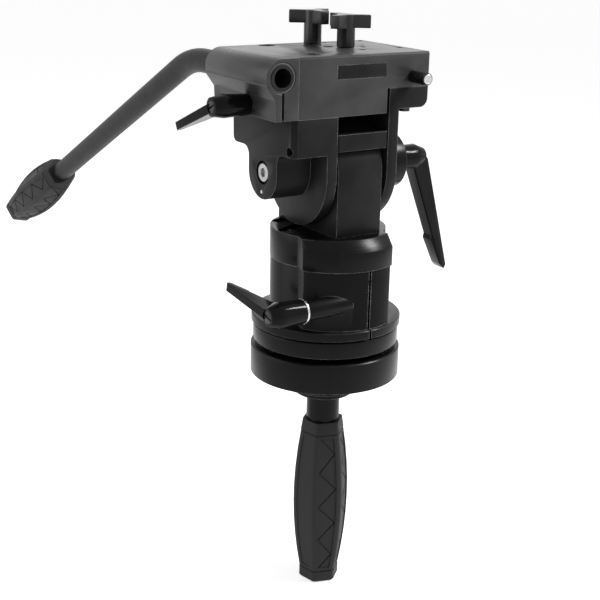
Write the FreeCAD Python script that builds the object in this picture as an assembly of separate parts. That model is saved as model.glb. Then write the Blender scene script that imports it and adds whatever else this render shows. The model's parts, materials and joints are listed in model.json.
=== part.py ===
"""Pan and tilt fluid head on a half-ball levelling bowl, one STEP file per sub-part.

Millimetres. Z is up and is the pan axis, the front faces -Y, the tilt axis runs along X.
The origin is on the pan axis at the underside of the bowl's rim.
"""
import FreeCAD, Part
import math
import os

V = FreeCAD.Vector
X_AXIS = V(1, 0, 0)
Y_AXIS = V(0, 1, 0)
Z_AXIS = V(0, 0, 1)

# Levelling bowl and half-ball
ball_r = 50.0
ball_z = 28.0
bowl_h = ball_z + 0.2
ball_fit = 0.05
ball_bottom_z = ball_z - 32.0
bowl_r = ball_r + 21.25
bowl_edge = 1.2
overcut = 1.0
edge_tol = 0.01
spigot_r = ball_r - 4.0
spigot_depth = 12.0
bowl_floor_z = ball_bottom_z - 4.0
dome_r = ball_r + 2.0
dome_hole_r = 11.0
bowl_bolt_pcd = 2 * (ball_r + 11.0)
bowl_bolt_count = 6
bowl_bolt_r = 2.5
bowl_bolt_depth = 14.0

# Tie-down stud, dish washer and handle
stud_r = 6.0
stud_top_z = ball_z - 4.0
stud_bottom_z = ball_z - dome_r - 56.0
dish_t = 5.9
dish_outer_r = 28.0
dish_hole_r = 10.0
slide_fit = 0.05
collar_r = 16.0
collar_bottom_z = ball_z - dome_r - 38.0
insert_r = 12.0
insert_bottom_z = collar_bottom_z - 58.0
stud_edge = 1.0
thread_runout = 10.0

# Moulded grips: six-sided barrels with a collar at each end, radii over the corners
grip_sides = 6
grip_collar = 13.0
grip_groove = 0.9
grip_groove_w = 1.8
grip_tail_round = 1.6
tie_grip_r = 28.4
tie_grip_end_r = 22.4
tie_grip_tail_r = 20.8
tie_grip_mouth_r = 20.6
tie_grip_top_z = collar_bottom_z + 10.0
tie_grip_bottom_z = collar_bottom_z - 164.0
tie_grip_turn = 12.0

# Fixed base
base_r = ball_r + 19.0
base_bottom_z = bowl_h + 5.3
base_top_z = base_bottom_z + 16.1
base_edge = 1.6
ball_screw_count = 6
ball_screw_bite = 7.5
ball_screw_pcd = 2 * (ball_r - 25.0)
m6_r = 3.0
m6_head_r = 5.0
m6_head_h = 6.0
m5_r = 2.5
m5_head_r = 4.25
m5_head_h = 5.0
head_room = 0.4
hex_corner_share = 0.575
hex_depth_share = 0.5

# Pan drum, bearings, spindle and drag discs
drum_r = 44.0
drum_wall = 6.0
drum_floor_top_z = base_top_z + 6.4
drum_top_z = base_top_z + 57.4
hub_r = 22.0
hub_top_z = base_top_z + 28.4
drum_screw_pcd = 2 * (drum_r - 12.0)
drum_screw_count = 6
drum_screw_bite = 10.0
pan_bearing_r = 16.0
pan_bearing_h = 8.0
spindle_r = 10.0
spindle_flange_r = 30.0
spindle_flange_h = 6.0
spindle_bottom_z = base_top_z - 3.6
drum_centre_r = 12.0
run_fit = 0.03
nut_r = 15.0
nut_h = 6.0
nut_pocket_r = 16.0
disc_t = 2.0
disc_pitch = 2.3
disc_inner_r = 12.5
disc_outer_r = drum_r - 6.5
rotor_count = 4
stator_count = 4
disc_stack_z = hub_top_z + 2.0

# Rotating clamp body
flange_r = drum_r + 26.8
flange_bottom_z = base_top_z + 0.6
flange_top_z = flange_bottom_z + 8.8
body_top_z = base_top_z + 64.4
body_round_r = drum_r + 9.5
pad_x = 1.6
pad_y = -7.0
pad_r = drum_r + 16.1
pad_left_x = -50.4
pad_left_y = -37.0
pad_left_slope = 0.24
pad_right_x = 29.0
pad_back_y = -15.0
body_bore_clearance = 0.1
flange_edge = 0.8
slit_x = 2.0
slit_overcut = 4.0
clamp_thread_wall = 6.0
slit_w = 2.4
boss_y = pad_y - pad_r + 11.1
boss_z = flange_top_z + 24.5
boss_r = 9.4
boss_end_x = -62.0
screw_r = 4.0
screw_clearance = 0.4
boss_tip_x = -14.4

# Turret cap and tower
seam_gap = 0.3
cap_top_z = body_top_z + 28.7
cap_round_r = drum_r + 10.0
cap_pad_low_r = pad_r + 1.4
cap_pad_high_r = drum_r + 16.6
cap_pad_break_z = body_top_z + 18.0
cap_pad_side = 1.2
cap_web_bottom_z = body_top_z + 8.0
cap_screw_pcd = 2 * (drum_r + 4.0)
cap_thread_depth = 15.0
cap_screw_bite = 12.0
cap_screw_angles = (350.0, 20.0, 55.0, 90.0, 135.0, 180.0)
cap_head_sunk = 0.4
spindle_screw_pcd = 44.0
spindle_screw_count = 4
tower_half_w = 23.9
tower_half_d = 49.0
tower_screw_x = tower_half_w - 8.9
tower_screw_y = tower_half_d - 11.0
tower_cavity_r = tower_half_d - 9.0
tower_wall = 6.0
tower_screw_bite = 12.0
tower_head_room = 1.0

# Tilt axis
tilt_z = cap_top_z + tower_half_d + 6.8
axle_r = 8.0
tilt_bearing_r = 15.0
tilt_disc_outer_r = tower_cavity_r - 3.0
tilt_rotor_count = 4
tilt_stator_count = 3
tilt_stack_gap = 0.8
tilt_stack_room = 2 * (tower_half_w - tower_wall - tilt_stack_gap) - disc_t
tilt_stack_pitch = tilt_stack_room / (tilt_rotor_count + tilt_stator_count)
stator_bore_gap = 4.0
washer_r = 20.0
washer_t = 2.4
washer_gap = 0.1

# Left cradle
cradle_inner_x = -tower_half_w - 2.6
cradle_left_x = cradle_inner_x - 45.5
plate_t = 10.3
plate_r = tower_half_d + 1.6
plate_front_y = 0.1 - plate_r
cradle_back_y = plate_r + 1.4
cradle_bottom_z = tilt_z + 20.5
cradle_back_corner = 6.0
cradle_edge = 4.6
lobe_r = 24.0
lobe_fillet = 9.0
axle_recess_r = 11.0
axle_recess_depth = 5.0
axle_screw_head_r = 9.2
axle_screw_taper = 1.2
axle_screw_sunk = 0.6
axle_screw_hex_depth = 3.0
axle_screw_hex_r = 4.6
axle_screw_shank_r = 5.0
axle_screw_end_x = cradle_left_x + 32.0
axle_left_x = cradle_left_x + 10.0
axle_end_gap = 1.0
side_hole_y = plate_front_y + 7.1
side_hole_z = tilt_z + 25.7
side_hole_r = 4.0
side_hole_depth = 8.0
dot_y = 1.4
dot_z = tilt_z - 17.7
dot_r = 1.5
dot_depth = 3.0

# Right cheek and drum
cheek_inner_x = tower_half_w + 3.9
cheek_t = 10.7
cheek_pad_r = 21.0
cheek_flange_end_x = cheek_inner_x + 42.2
cheek_flange_z = tilt_z + plate_r + 5.9
cheek_top_z = cheek_flange_z + 18.7
cheek_corner_r = 8.0
right_drum_r = 26.0
right_drum_end_x = cheek_flange_end_x + 1.0
right_drum_wall = 5.0
right_drum_edge = 1.5

# Top block
block_bottom_z = tilt_z + plate_r + 2.9
block_top_z = block_bottom_z + 52.2
block_front_y = plate_front_y
block_back_y = plate_r + 3.9
block_left_x = cradle_left_x + 4.6
block_end_x = cheek_flange_end_x
notch_x = cheek_inner_x - 2.8
notch_z = cheek_top_z + 0.3
block_edge = 1.5
slot_left_x = cradle_inner_x - 2.2
slot_right_x = notch_x - 1.5
slot_low_z = block_top_z - 20.2
slot_high_z = block_top_z - 8.0
slot_depth = 1.2
front_plate_t = 1.0
front_plate_gap = 0.1
socket_a = (cradle_inner_x - 14.5, 46.0, 8.0)
socket_b = (cradle_inner_x - 15.1, -30.0, 7.5)
socket_c = (6.0, 16.0, 4.75)
small_holes = ((33.6, 1.0), (19.7, -18.0), (block_end_x - 7.2, 47.0), (22.0, 47.0),
               (block_end_x - 8.2, -17.0))
small_hole_r = 3.0
small_hole_depth = 16.0
socket_c_depth = 20.0
cradle_screw_head_z = block_bottom_z + 20.0
m8_r = 4.0
m8_head_r = 6.5
m8_head_h = 8.0
m8_end_z = block_bottom_z - 20.0
cheek_screw_y = 30.0
cheek_screw_x = cheek_flange_end_x - 10.0
cheek_screw_end_z = notch_z + 16.0
bar_z0 = tilt_z + 22.5
bar_z1 = bar_z0 + 15.0
bar_t = 6.0
bar_round = 3.0

# Pan bar and its clamp
bar_r = 11.0
bar_bore_r = bar_r - 2.6
sleeve_r = bar_r + 1.7
sleeve_fit = 0.05
clamp_barrel_r = sleeve_r + 3.3
bar_x = block_left_x - clamp_barrel_r - 0.3
bar_z = block_top_z - clamp_barrel_r
clamp_wall_x = bar_x - 6.3
clamp_diag_x = bar_x - 7.2
clamp_diag_z = block_bottom_z + 18.0
clamp_diag_top_z = bar_z - 6.2
clamp_slit_w = 2.4
clamp_slit_x = bar_x + 0.9
clamp_bore_edge = 0.8
clamp_overcut = 2.0
clamp_head_sunk = 4.2
clamp_screw_ys = (10.0, 38.0)
clamp_screw_z = block_bottom_z + 7.5
clamp_screw_end_x = block_left_x + 17.4
sleeve_front_y = block_front_y + 0.6
sleeve_back_y = block_back_y
bar_front_y = block_front_y - 0.5
bar_corner_y = block_back_y + 54.55
bar_bend_r = 110.0
bar_drop_deg = 26.77
bar_straight_len = 519.0
bar_grip_len = 173.0
bar_grip_overhang = 7.0
bar_grip_r = 26.3
bar_grip_end_r = 21.0
bar_grip_tail_r = 19.5
bar_grip_mouth_r = 17.5
bar_grip_turn = 17.8

# Adjustable clamping levers, in the lever's own frame: w along its axis, r along its arm
LARGE_LEVER = {
    "hub_r": 12.4, "hub_root_r": 11.6, "hub_end_r": 8.0, "hub_crest_w": 23.0, "hub_len": 34.0,
    "web_w": 12.0, "web_t": 3.0, "bore_r": 8.6,
    "tooth_r": 7.6, "root_r": 6.8, "core_r": 6.4, "core_len": 11.6,
    "screw_r": 2.5, "head_r": 6.0, "head_t": 3.6, "well_r": 6.3,
    "spring_r": 4.4, "spring_wire": 0.9, "thread_r": 4.0,
    "neck_w": 15.9, "shoulder_r": 4.0, "shoulder_w": 37.0, "thickness": 16.5, "tip_thickness": 14.5,
    "reach": 116.0, "tip_in_w": 58.8, "tip_out_w": 66.6, "tip_round": 5.0,
    "thumb_from_r": 80.0, "thumb_peak_r": 84.5, "thumb_h": 2.6, "rounding": 1.6,
}
MIDDLE_LEVER = {
    "hub_r": 12.0, "hub_root_r": 11.3, "hub_end_r": 8.3, "hub_crest_w": 25.0, "hub_len": 35.0,
    "web_w": 12.0, "web_t": 3.0, "bore_r": 8.6,
    "tooth_r": 7.6, "root_r": 6.8, "core_r": 6.4, "core_len": 11.6,
    "screw_r": 2.5, "head_r": 6.0, "head_t": 3.4, "well_r": 6.3,
    "spring_r": 4.4, "spring_wire": 0.9, "thread_r": 4.0,
    "neck_w": 13.5, "shoulder_r": 3.0, "shoulder_w": 35.6, "thickness": 8.8, "tip_thickness": 7.0,
    "reach": 60.5, "tip_in_w": 37.5, "tip_out_w": 44.2, "tip_round": 3.0,
    "thumb_from_r": 40.0, "thumb_peak_r": 43.0, "thumb_h": 1.3, "rounding": 0.8,
}
SMALL_LEVER = {
    "hub_r": 10.3, "hub_root_r": 9.2, "hub_end_r": 8.3, "hub_crest_w": 24.0, "hub_len": 35.0,
    "web_w": 10.0, "web_t": 2.5, "bore_r": 6.6,
    "tooth_r": 5.8, "root_r": 5.1, "core_r": 4.7, "core_len": 9.6,
    "screw_r": 2.0, "head_r": 5.2, "head_t": 3.2, "well_r": 5.5,
    "spring_r": 3.4, "spring_wire": 0.7, "thread_r": 3.0,
    "neck_w": 15.5, "shoulder_r": 3.0, "shoulder_w": 35.6, "thickness": 8.8, "tip_thickness": 7.2,
    "reach": 59.5, "tip_in_w": 35.4, "tip_out_w": 42.2, "tip_round": 3.0,
    "thumb_from_r": 40.0, "thumb_peak_r": 43.0, "thumb_h": 1.2, "rounding": 0.8,
}
lever_teeth = 12
lever_tooth_len = 3.6
lever_tooth_gap = 0.2
lever_fit = 0.08
lever_screw_depth = 3.0
lever_blind_wall = 2.0
lever_slot_half_w = 0.9
lever_slot_depth = 1.6
handle_lift = 4.0
spring_clearance = 0.3
spring_seat_gap = 0.02
spring_turns = 5
tilt_lever_x = right_drum_end_x + 2.0
pan_washer_r = 11.5
pan_washer_t = 2.0
pan_lever_x = boss_end_x - pan_washer_t
clamp_lever_x = clamp_diag_x - 0.3
clamp_lever_y = -5.0
clamp_lever_z = bar_z - clamp_barrel_r - 11.2
tilt_lever_tail = 30.0
pan_lever_tail = slit_x + 13.0 - pan_lever_x
clamp_lever_tail = 22.0
tilt_lever_turn = 180.0
pan_lever_turn = 76.5
clamp_lever_turn = 114.4

# Three-lobed knobs on the top and the front thumb screw
rear_knob = (5.0, 41.0)
front_knob = (16.6, 4.0)
rear_knob_turn = 27.0
front_knob_turn = -33.0
rear_lobe_z = block_top_z + 19.2
front_lobe_z = block_top_z + 17.6
knob_stem_r = 8.2
knob_foot_round = 1.0
knob_lobe_count = 3
knob_lobe_reach = 22.0
knob_lobe_half_w = 4.4
knob_lobe_h = 11.6
knob_lobe_edge = 0.8
knob_seat_gap = 0.3
knob_stud_r = 4.0
knob_stud_top_z = block_top_z + 21.8
knob_stud_depth = 20.0
knob_stud_edge = 0.8
blind_end = 1.0
thread_fit = 0.05
thumb_x = block_end_x - 17.7
thumb_z = block_top_z - 21.5
thumb_r = 5.3
thumb_core_r = 4.3
thumb_len = 22.0
thumb_seat_gap = 0.3
thumb_end_show = 1.0
thumb_end_round = 1.0
thumb_shank_r = 3.0
thumb_shank_depth = 18.0
thumb_flutes = 18
thumb_flute_r = 0.45


def cyl(radius, length, base, direction=Z_AXIS):
    return Part.makeCylinder(radius, length, V(*base), direction)


def ring(outer, inner, length, base, direction=Z_AXIS):
    return cyl(outer, length, base, direction).cut(cyl(inner, length, base, direction))


def box(x0, x1, y0, y1, z0, z1):
    return Part.makeBox(x1 - x0, y1 - y0, z1 - z0, V(x0, y0, z0))


def prism(points, direction):
    """A closed polygon of 3-D points swept along a vector."""
    corners = [V(*point) for point in points]
    wire = Part.makePolygon(corners + [corners[0]])
    return Part.Face(wire).extrude(direction)


def turned(profile):
    """A solid turned about Z from a list of (radius, height) points."""
    wire = Part.makePolygon([V(r, 0, z) for r, z in profile + [profile[0]]])
    return Part.Face(wire).revolve(V(0, 0, 0), Z_AXIS, 360)


def clean(shape):
    """The shape as single solids without leftover seams."""
    merged = shape.removeSplitter()
    return merged if merged.isValid() else shape


def ball(radius):
    return Part.makeSphere(radius, V(0, 0, ball_z))


def circle_points(pcd, count, start=0.0):
    step = 360.0 / count
    angles = [math.radians(start + step * i) for i in range(count)]
    return [(pcd / 2 * math.cos(a), pcd / 2 * math.sin(a)) for a in angles]


def socket_screw(shank_r, head_r, head_h, length, under_head, direction):
    """A socket head screw; the shank leaves the point under the head along direction."""
    head_base = V(*under_head) - V(direction) * head_h
    screw = cyl(head_r, head_h, head_base, direction)
    screw = screw.fuse(cyl(shank_r, length, under_head, direction))
    hexagon = regular_prism(6, head_r * hex_corner_share, head_h * hex_depth_share, head_base, direction)
    return clean(screw.cut(hexagon))


def regular_prism(sides, radius, length, base, direction):
    points = [V(radius * math.cos(2 * math.pi * i / sides),
                radius * math.sin(2 * math.pi * i / sides), 0) for i in range(sides)]
    solid = Part.Face(Part.makePolygon(points + [points[0]])).extrude(V(0, 0, length))
    solid.Placement = FreeCAD.Placement(V(*base), FreeCAD.Rotation(Z_AXIS, V(direction)))
    return solid


def screw_room(head_r, shank_r, head_h, depth, under_head, direction, mouth):
    """Clearance for a socket screw: head pocket out to the mouth and shank hole."""
    head_base = V(*under_head) - V(direction) * mouth
    pocket = cyl(head_r + head_room, mouth, head_base, direction)
    return pocket.fuse(cyl(shank_r, depth, under_head, direction))


def star(teeth, outer, inner, length, base_w):
    """A toothed prism about the local lever axis Z."""
    points = []
    for i in range(teeth * 2):
        radius = outer if i % 2 == 0 else inner
        angle = math.pi * i / teeth
        points.append(V(radius * math.cos(angle), radius * math.sin(angle), base_w))
    return Part.Face(Part.makePolygon(points + [points[0]])).extrude(V(0, 0, length))


def barrel_slab(mid_r, end_r, tail_r, top, bottom):
    """The slab between two opposite facets: bowed outlines swept wider than the barrel."""
    flat = math.cos(math.pi / grip_sides)
    mid_z = (top + bottom) / 2
    right = Part.Arc(V(end_r * flat, 0, top), V(mid_r * flat, 0, mid_z), V(tail_r * flat, 0, bottom))
    left = Part.Arc(V(-tail_r * flat, 0, bottom), V(-mid_r * flat, 0, mid_z), V(-end_r * flat, 0, top))
    lid = Part.LineSegment(V(-end_r * flat, 0, top), V(end_r * flat, 0, top))
    floor = Part.LineSegment(V(tail_r * flat, 0, bottom), V(-tail_r * flat, 0, bottom))
    wire = Part.Wire([edge.toShape() for edge in (right, floor, left, lid)])
    slab = Part.Face(wire).extrude(V(0, 4 * mid_r, 0))
    slab.translate(V(0, -2 * mid_r, 0))
    return slab


def polygon_frustum(low_r, high_r, low_z, high_z):
    """A six-sided frustum whose corners line up with the barrel's."""
    wires = []
    for radius, height in ((low_r, low_z), (high_r, high_z)):
        points = [V(radius * math.cos(math.pi * (2 * i + 1) / grip_sides),
                    radius * math.sin(math.pi * (2 * i + 1) / grip_sides), height)
                  for i in range(grip_sides)]
        wires.append(Part.makePolygon(points + [points[0]]))
    return Part.makeLoft(wires, True, True)


def grip_barrel(length, mid_r, end_r, tail_r, mouth_r):
    """A six-sided barrel that hangs from its mouth at zero height, with a ring groove by each collar."""
    top, bottom = -grip_collar, grip_collar - length
    body = barrel_slab(mid_r, end_r, tail_r, top, bottom)
    for turn in range(1, grip_sides // 2):
        slab = barrel_slab(mid_r, end_r, tail_r, top, bottom)
        slab.rotate(V(0, 0, 0), Z_AXIS, 360.0 / grip_sides * turn)
        body = body.common(slab)
    near_waist, far_waist = end_r - grip_groove, tail_r - grip_groove
    near = polygon_frustum(end_r, mouth_r, top + grip_groove_w, 0)
    far = polygon_frustum(tail_r - grip_tail_round, tail_r, -length, bottom - grip_groove_w)
    near_neck = polygon_frustum(near_waist, near_waist, top, top + grip_groove_w)
    far_neck = polygon_frustum(far_waist, far_waist, bottom - grip_groove_w, bottom)
    return body.fuse([near, near_neck, far, far_neck])


def levelling_bowl():
    body = cyl(bowl_r, bowl_h, (0, 0, 0))
    body = body.makeChamfer(bowl_edge, [e for e in body.Edges if e.BoundBox.ZMin > bowl_h - edge_tol])
    spigot = cyl(spigot_r, spigot_depth, (0, 0, -spigot_depth))
    dome = ball(dome_r).common(cyl(spigot_r, dome_r, (0, 0, ball_z - dome_r)))
    dome = dome.common(box(-spigot_r, spigot_r, -spigot_r, spigot_r, ball_z - dome_r - overcut, 0))
    body = body.fuse([spigot, dome])
    seat = ball(ball_r + ball_fit)
    seat = seat.common(cyl(ball_r * 2, ball_r * 2, (0, 0, bowl_floor_z)))
    upper = cyl(ball_r + ball_fit, bowl_h, (0, 0, ball_z))
    hole = cyl(dome_hole_r, ball_r, (0, 0, ball_z - dome_r - overcut))
    body = body.cut(seat).cut(upper).cut(hole)
    for x, y in circle_points(bowl_bolt_pcd, bowl_bolt_count, 30.0):
        body = body.cut(cyl(bowl_bolt_r, bowl_bolt_depth, (x, y, 0)))
    return clean(body)


def dish_washer():
    shell = ball(dome_r + slide_fit + dish_t).cut(ball(dome_r + slide_fit))
    reach = dome_r + dish_t
    lower = cyl(dish_outer_r, reach, (0, 0, ball_z - reach - overcut))
    return clean(shell.common(lower).cut(cyl(dish_hole_r, reach, (0, 0, ball_z - reach - overcut))))


def half_ball():
    body = ball(ball_r).common(cyl(ball_r * 2, base_bottom_z - ball_bottom_z, (0, 0, ball_bottom_z)))
    body = body.cut(cyl(stud_r, stud_top_z - ball_bottom_z, (0, 0, ball_bottom_z)))
    for x, y in circle_points(ball_screw_pcd, ball_screw_count):
        under = (x, y, ball_screw_seat_z())
        body = body.cut(screw_room(m6_head_r, m6_r, m6_head_h, ball_r, under, Z_AXIS,
                                   ball_screw_seat_z() - ball_bottom_z))
    return clean(body)


def ball_screw_seat_z():
    return ball_bottom_z + m6_head_h * 2 + head_room


def half_ball_screws():
    length = base_bottom_z + ball_screw_bite - ball_screw_seat_z()
    return [socket_screw(m6_r, m6_head_r, m6_head_h, length, (x, y, ball_screw_seat_z()), Z_AXIS)
            for x, y in circle_points(ball_screw_pcd, ball_screw_count)]


def base_disc():
    body = cyl(base_r, base_top_z - base_bottom_z, (0, 0, base_bottom_z))
    body = body.makeChamfer(base_edge, [e for e in body.Edges if e.BoundBox.ZMin > base_top_z - edge_tol])
    body = body.cut(cyl(nut_pocket_r, base_top_z - base_bottom_z, (0, 0, base_bottom_z)))
    for x, y in circle_points(ball_screw_pcd, ball_screw_count):
        body = body.cut(cyl(m6_r, ball_screw_bite, (x, y, base_bottom_z)))
    for x, y in circle_points(drum_screw_pcd, drum_screw_count, 30.0):
        body = body.cut(cyl(m5_r, drum_screw_bite, (x, y, base_top_z - drum_screw_bite)))
    return clean(body)


def pan_drum():
    floor = cyl(drum_r, drum_floor_top_z - base_top_z, (0, 0, base_top_z))
    wall = ring(drum_r, drum_r - drum_wall, drum_top_z - base_top_z, (0, 0, base_top_z))
    hub = cyl(hub_r, hub_top_z - base_top_z, (0, 0, base_top_z))
    body = floor.fuse([wall, hub])
    body = body.cut(cyl(drum_centre_r, hub_top_z, (0, 0, base_top_z)))
    for z in pan_bearing_heights():
        body = body.cut(cyl(pan_bearing_r, pan_bearing_h, (0, 0, z)))
    for x, y in circle_points(drum_screw_pcd, drum_screw_count, 30.0):
        body = body.cut(cyl(m5_r, drum_floor_top_z - base_top_z, (x, y, base_top_z)))
    return clean(body)


def pan_bearing_heights():
    return (base_top_z, hub_top_z - pan_bearing_h)


def drum_screws():
    length = drum_floor_top_z - base_top_z + drum_screw_bite
    return [socket_screw(m5_r, m5_head_r, m5_head_h, length, (x, y, drum_floor_top_z), -Z_AXIS)
            for x, y in circle_points(drum_screw_pcd, drum_screw_count, 30.0)]


def pan_bearings():
    return [ring(pan_bearing_r, spindle_r + run_fit, pan_bearing_h, (0, 0, z))
            for z in pan_bearing_heights()]


def pan_drag_stators():
    inner = disc_inner_r
    outer = drum_r - drum_wall
    start = disc_stack_z + disc_pitch
    return [ring(outer, inner, disc_t, (0, 0, start + 2 * disc_pitch * i))
            for i in range(stator_count)]


def pan_drag_rotors():
    outer = disc_outer_r
    return [ring(outer, spindle_r, disc_t, (0, 0, disc_stack_z + 2 * disc_pitch * i))
            for i in range(rotor_count)]


def tie_down_stud():
    body = cyl(stud_r, stud_top_z - stud_bottom_z, (0, 0, stud_bottom_z))
    return body.makeChamfer(stud_edge, [e for e in body.Edges if e.Closed])


def tie_down_insert():
    collar_top = ball_z - dome_r
    collar = cyl(collar_r, collar_top - collar_bottom_z, (0, 0, collar_bottom_z))
    collar = collar.cut(ball(dome_r + dish_t + 2 * slide_fit))
    sleeve = cyl(insert_r, collar_bottom_z - insert_bottom_z, (0, 0, insert_bottom_z))
    body = collar.fuse(sleeve)
    bore_z = insert_bottom_z + thread_runout
    return clean(body.cut(cyl(stud_r + thread_fit, collar_top - bore_z, (0, 0, bore_z))))


def tie_down_grip():
    body = grip_barrel(tie_grip_top_z - tie_grip_bottom_z, tie_grip_r, tie_grip_end_r, tie_grip_tail_r,
                       tie_grip_mouth_r)
    body.rotate(V(0, 0, 0), Z_AXIS, tie_grip_turn)
    body.translate(V(0, 0, tie_grip_top_z))
    body = body.cut(cyl(collar_r, tie_grip_top_z - collar_bottom_z, (0, 0, collar_bottom_z)))
    body = body.cut(cyl(insert_r, collar_bottom_z - insert_bottom_z, (0, 0, insert_bottom_z)))
    return clean(body)


def pad_block(radius, side, height, z):
    """The front pad's plan between its two sides, open to the front and pushed out by the given side."""
    front_y = pad_y - radius - overcut
    left_front_x = pad_left_x - side + pad_left_slope * (front_y - pad_left_y)
    left_back_x = pad_left_x - side + pad_left_slope * (pad_back_y - pad_left_y)
    right_x = pad_right_x + side
    return prism([(left_front_x, front_y, z), (right_x, front_y, z), (right_x, pad_back_y, z),
                  (left_back_x, pad_back_y, z)], V(0, 0, height))


def clamp_body():
    height = body_top_z - flange_top_z
    flange = cyl(flange_r, flange_top_z - flange_bottom_z, (0, 0, flange_bottom_z))
    flange = flange.makeChamfer(flange_edge, [e for e in flange.Edges if e.Closed])
    round_part = cyl(body_round_r, height, (0, 0, flange_top_z))
    pad = pad_block(pad_r, 0.0, height, flange_top_z)
    pad = pad.common(cyl(pad_r, height, (pad_x, pad_y, flange_top_z)))
    boss = cyl(boss_r, boss_tip_x - boss_end_x, (boss_end_x, boss_y, boss_z), X_AXIS)
    body = flange.fuse([round_part, pad, boss])
    body = body.cut(cyl(drum_r + body_bore_clearance, body_top_z, (0, 0, 0)))
    body = body.cut(box(slit_x - slit_w / 2, slit_x + slit_w / 2, -flange_r, slit_overcut - drum_r,
                        flange_bottom_z, body_top_z))
    body = body.cut(cyl(screw_r + screw_clearance, slit_x - boss_end_x,
                        (boss_end_x, boss_y, boss_z), X_AXIS))
    body = body.cut(cyl(screw_r + thread_fit, pad_right_x - slit_x - clamp_thread_wall,
                        (slit_x, boss_y, boss_z), X_AXIS))
    for x, y in cap_screw_points():
        body = body.cut(cyl(m6_r, cap_thread_depth, (x, y, body_top_z - cap_thread_depth)))
    return clean(body)


def cap_screw_points():
    radius = cap_screw_pcd / 2
    return [(radius * math.cos(math.radians(a)), radius * math.sin(math.radians(a)))
            for a in cap_screw_angles]


def turret_cap():
    bottom = body_top_z + seam_gap
    round_part = cyl(cap_round_r, cap_top_z - bottom, (0, 0, bottom))
    upright = cyl(cap_pad_low_r, cap_pad_break_z - bottom, (pad_x, pad_y, bottom))
    low_rim = Part.Wire(Part.makeCircle(cap_pad_low_r, V(pad_x, pad_y, cap_pad_break_z)))
    high_rim = Part.Wire(Part.makeCircle(cap_pad_high_r, V(0, 0, cap_top_z)))
    slope = Part.makeLoft([low_rim, high_rim], True, True)
    pad = pad_block(cap_pad_low_r, cap_pad_side, cap_top_z - bottom, bottom)
    body = round_part.fuse([upright.common(pad), slope.common(pad)])
    body = body.cut(cyl(drum_r + body_bore_clearance, cap_web_bottom_z - bottom, (0, 0, bottom)))
    for x, y in cap_screw_points():
        under = (x, y, cap_screw_seat_z())
        body = body.cut(screw_room(m6_head_r, m6_r, m6_head_h, cap_screw_seat_z() - bottom, under,
                                   -Z_AXIS, cap_top_z - cap_screw_seat_z()))
    for x, y in circle_points(spindle_screw_pcd, spindle_screw_count, 45.0):
        body = body.cut(screw_room(m5_head_r, m5_r, m5_head_h, cap_top_z - cap_web_bottom_z,
                                   (x, y, spindle_screw_seat_z()), -Z_AXIS,
                                   cap_top_z - spindle_screw_seat_z()))
    for x, y in tower_screw_points():
        body = body.cut(cyl(m6_r, tower_screw_bite, (x, y, cap_top_z - tower_screw_bite)))
    return clean(body)


def cap_screw_seat_z():
    return cap_top_z - m6_head_h - cap_head_sunk


def spindle_screw_seat_z():
    return cap_web_bottom_z + m5_head_h


def cap_screws():
    length = cap_screw_seat_z() - body_top_z + cap_screw_bite
    return [socket_screw(m6_r, m6_head_r, m6_head_h, length, (x, y, cap_screw_seat_z()), -Z_AXIS)
            for x, y in cap_screw_points()]


def pan_spindle():
    top = cap_web_bottom_z
    flange = cyl(spindle_flange_r, spindle_flange_h, (0, 0, top - spindle_flange_h))
    body = flange.fuse(cyl(spindle_r, top - spindle_bottom_z, (0, 0, spindle_bottom_z)))
    for x, y in circle_points(spindle_screw_pcd, spindle_screw_count, 45.0):
        body = body.cut(cyl(m5_r, spindle_flange_h, (x, y, top - spindle_flange_h)))
    return clean(body)


def spindle_screws():
    length = spindle_screw_seat_z() - cap_web_bottom_z + spindle_flange_h
    return [socket_screw(m5_r, m5_head_r, m5_head_h, length, (x, y, spindle_screw_seat_z()), -Z_AXIS)
            for x, y in circle_points(spindle_screw_pcd, spindle_screw_count, 45.0)]


def spindle_nut():
    nut = regular_prism(6, nut_r, nut_h, (0, 0, nut_bottom_z()), Z_AXIS)
    return clean(nut.cut(cyl(spindle_r, nut_h, (0, 0, nut_bottom_z()))))


def nut_bottom_z():
    return base_top_z - slide_fit - nut_h


def tower_screw_points():
    return [(sx * tower_screw_x, sy * tower_screw_y) for sx in (-1, 1) for sy in (-1, 1)]


def tower():
    base = box(-tower_half_w, tower_half_w, -tower_half_d, tower_half_d, cap_top_z, tilt_z)
    top = cyl(tower_half_d, 2 * tower_half_w, (-tower_half_w, 0, tilt_z), X_AXIS)
    body = base.fuse(top)
    cavity = cyl(tower_cavity_r, 2 * (tower_half_w - tower_wall),
                 (-tower_half_w + tower_wall, 0, tilt_z), X_AXIS)
    body = body.cut(cavity)
    body = body.cut(cyl(tilt_bearing_r, 2 * tower_half_w, (-tower_half_w, 0, tilt_z), X_AXIS))
    for x, y in tower_screw_points():
        seat = cap_top_z + m6_head_h
        body = body.cut(screw_room(m6_head_r, m6_r, m6_head_h, seat - cap_top_z, (x, y, seat),
                                   -Z_AXIS, m6_head_h + tower_head_room))
    return clean(body)


def tower_screws():
    seat = cap_top_z + m6_head_h
    length = m6_head_h + tower_screw_bite
    return [socket_screw(m6_r, m6_head_r, m6_head_h, length, (x, y, seat), -Z_AXIS)
            for x, y in tower_screw_points()]


def tilt_bearings():
    return [ring(tilt_bearing_r, axle_r + run_fit, tower_wall, (x, 0, tilt_z), X_AXIS)
            for x in (-tower_half_w, tower_half_w - tower_wall)]


def tilt_stack_x(place):
    """Left face of the disc at a place in the stack."""
    return -tower_half_w + tower_wall + tilt_stack_gap + tilt_stack_pitch * place


def tilt_drag_rotors():
    return [ring(tilt_disc_outer_r, axle_r, disc_t, (tilt_stack_x(2 * i), 0, tilt_z), X_AXIS)
            for i in range(tilt_rotor_count)]


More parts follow.
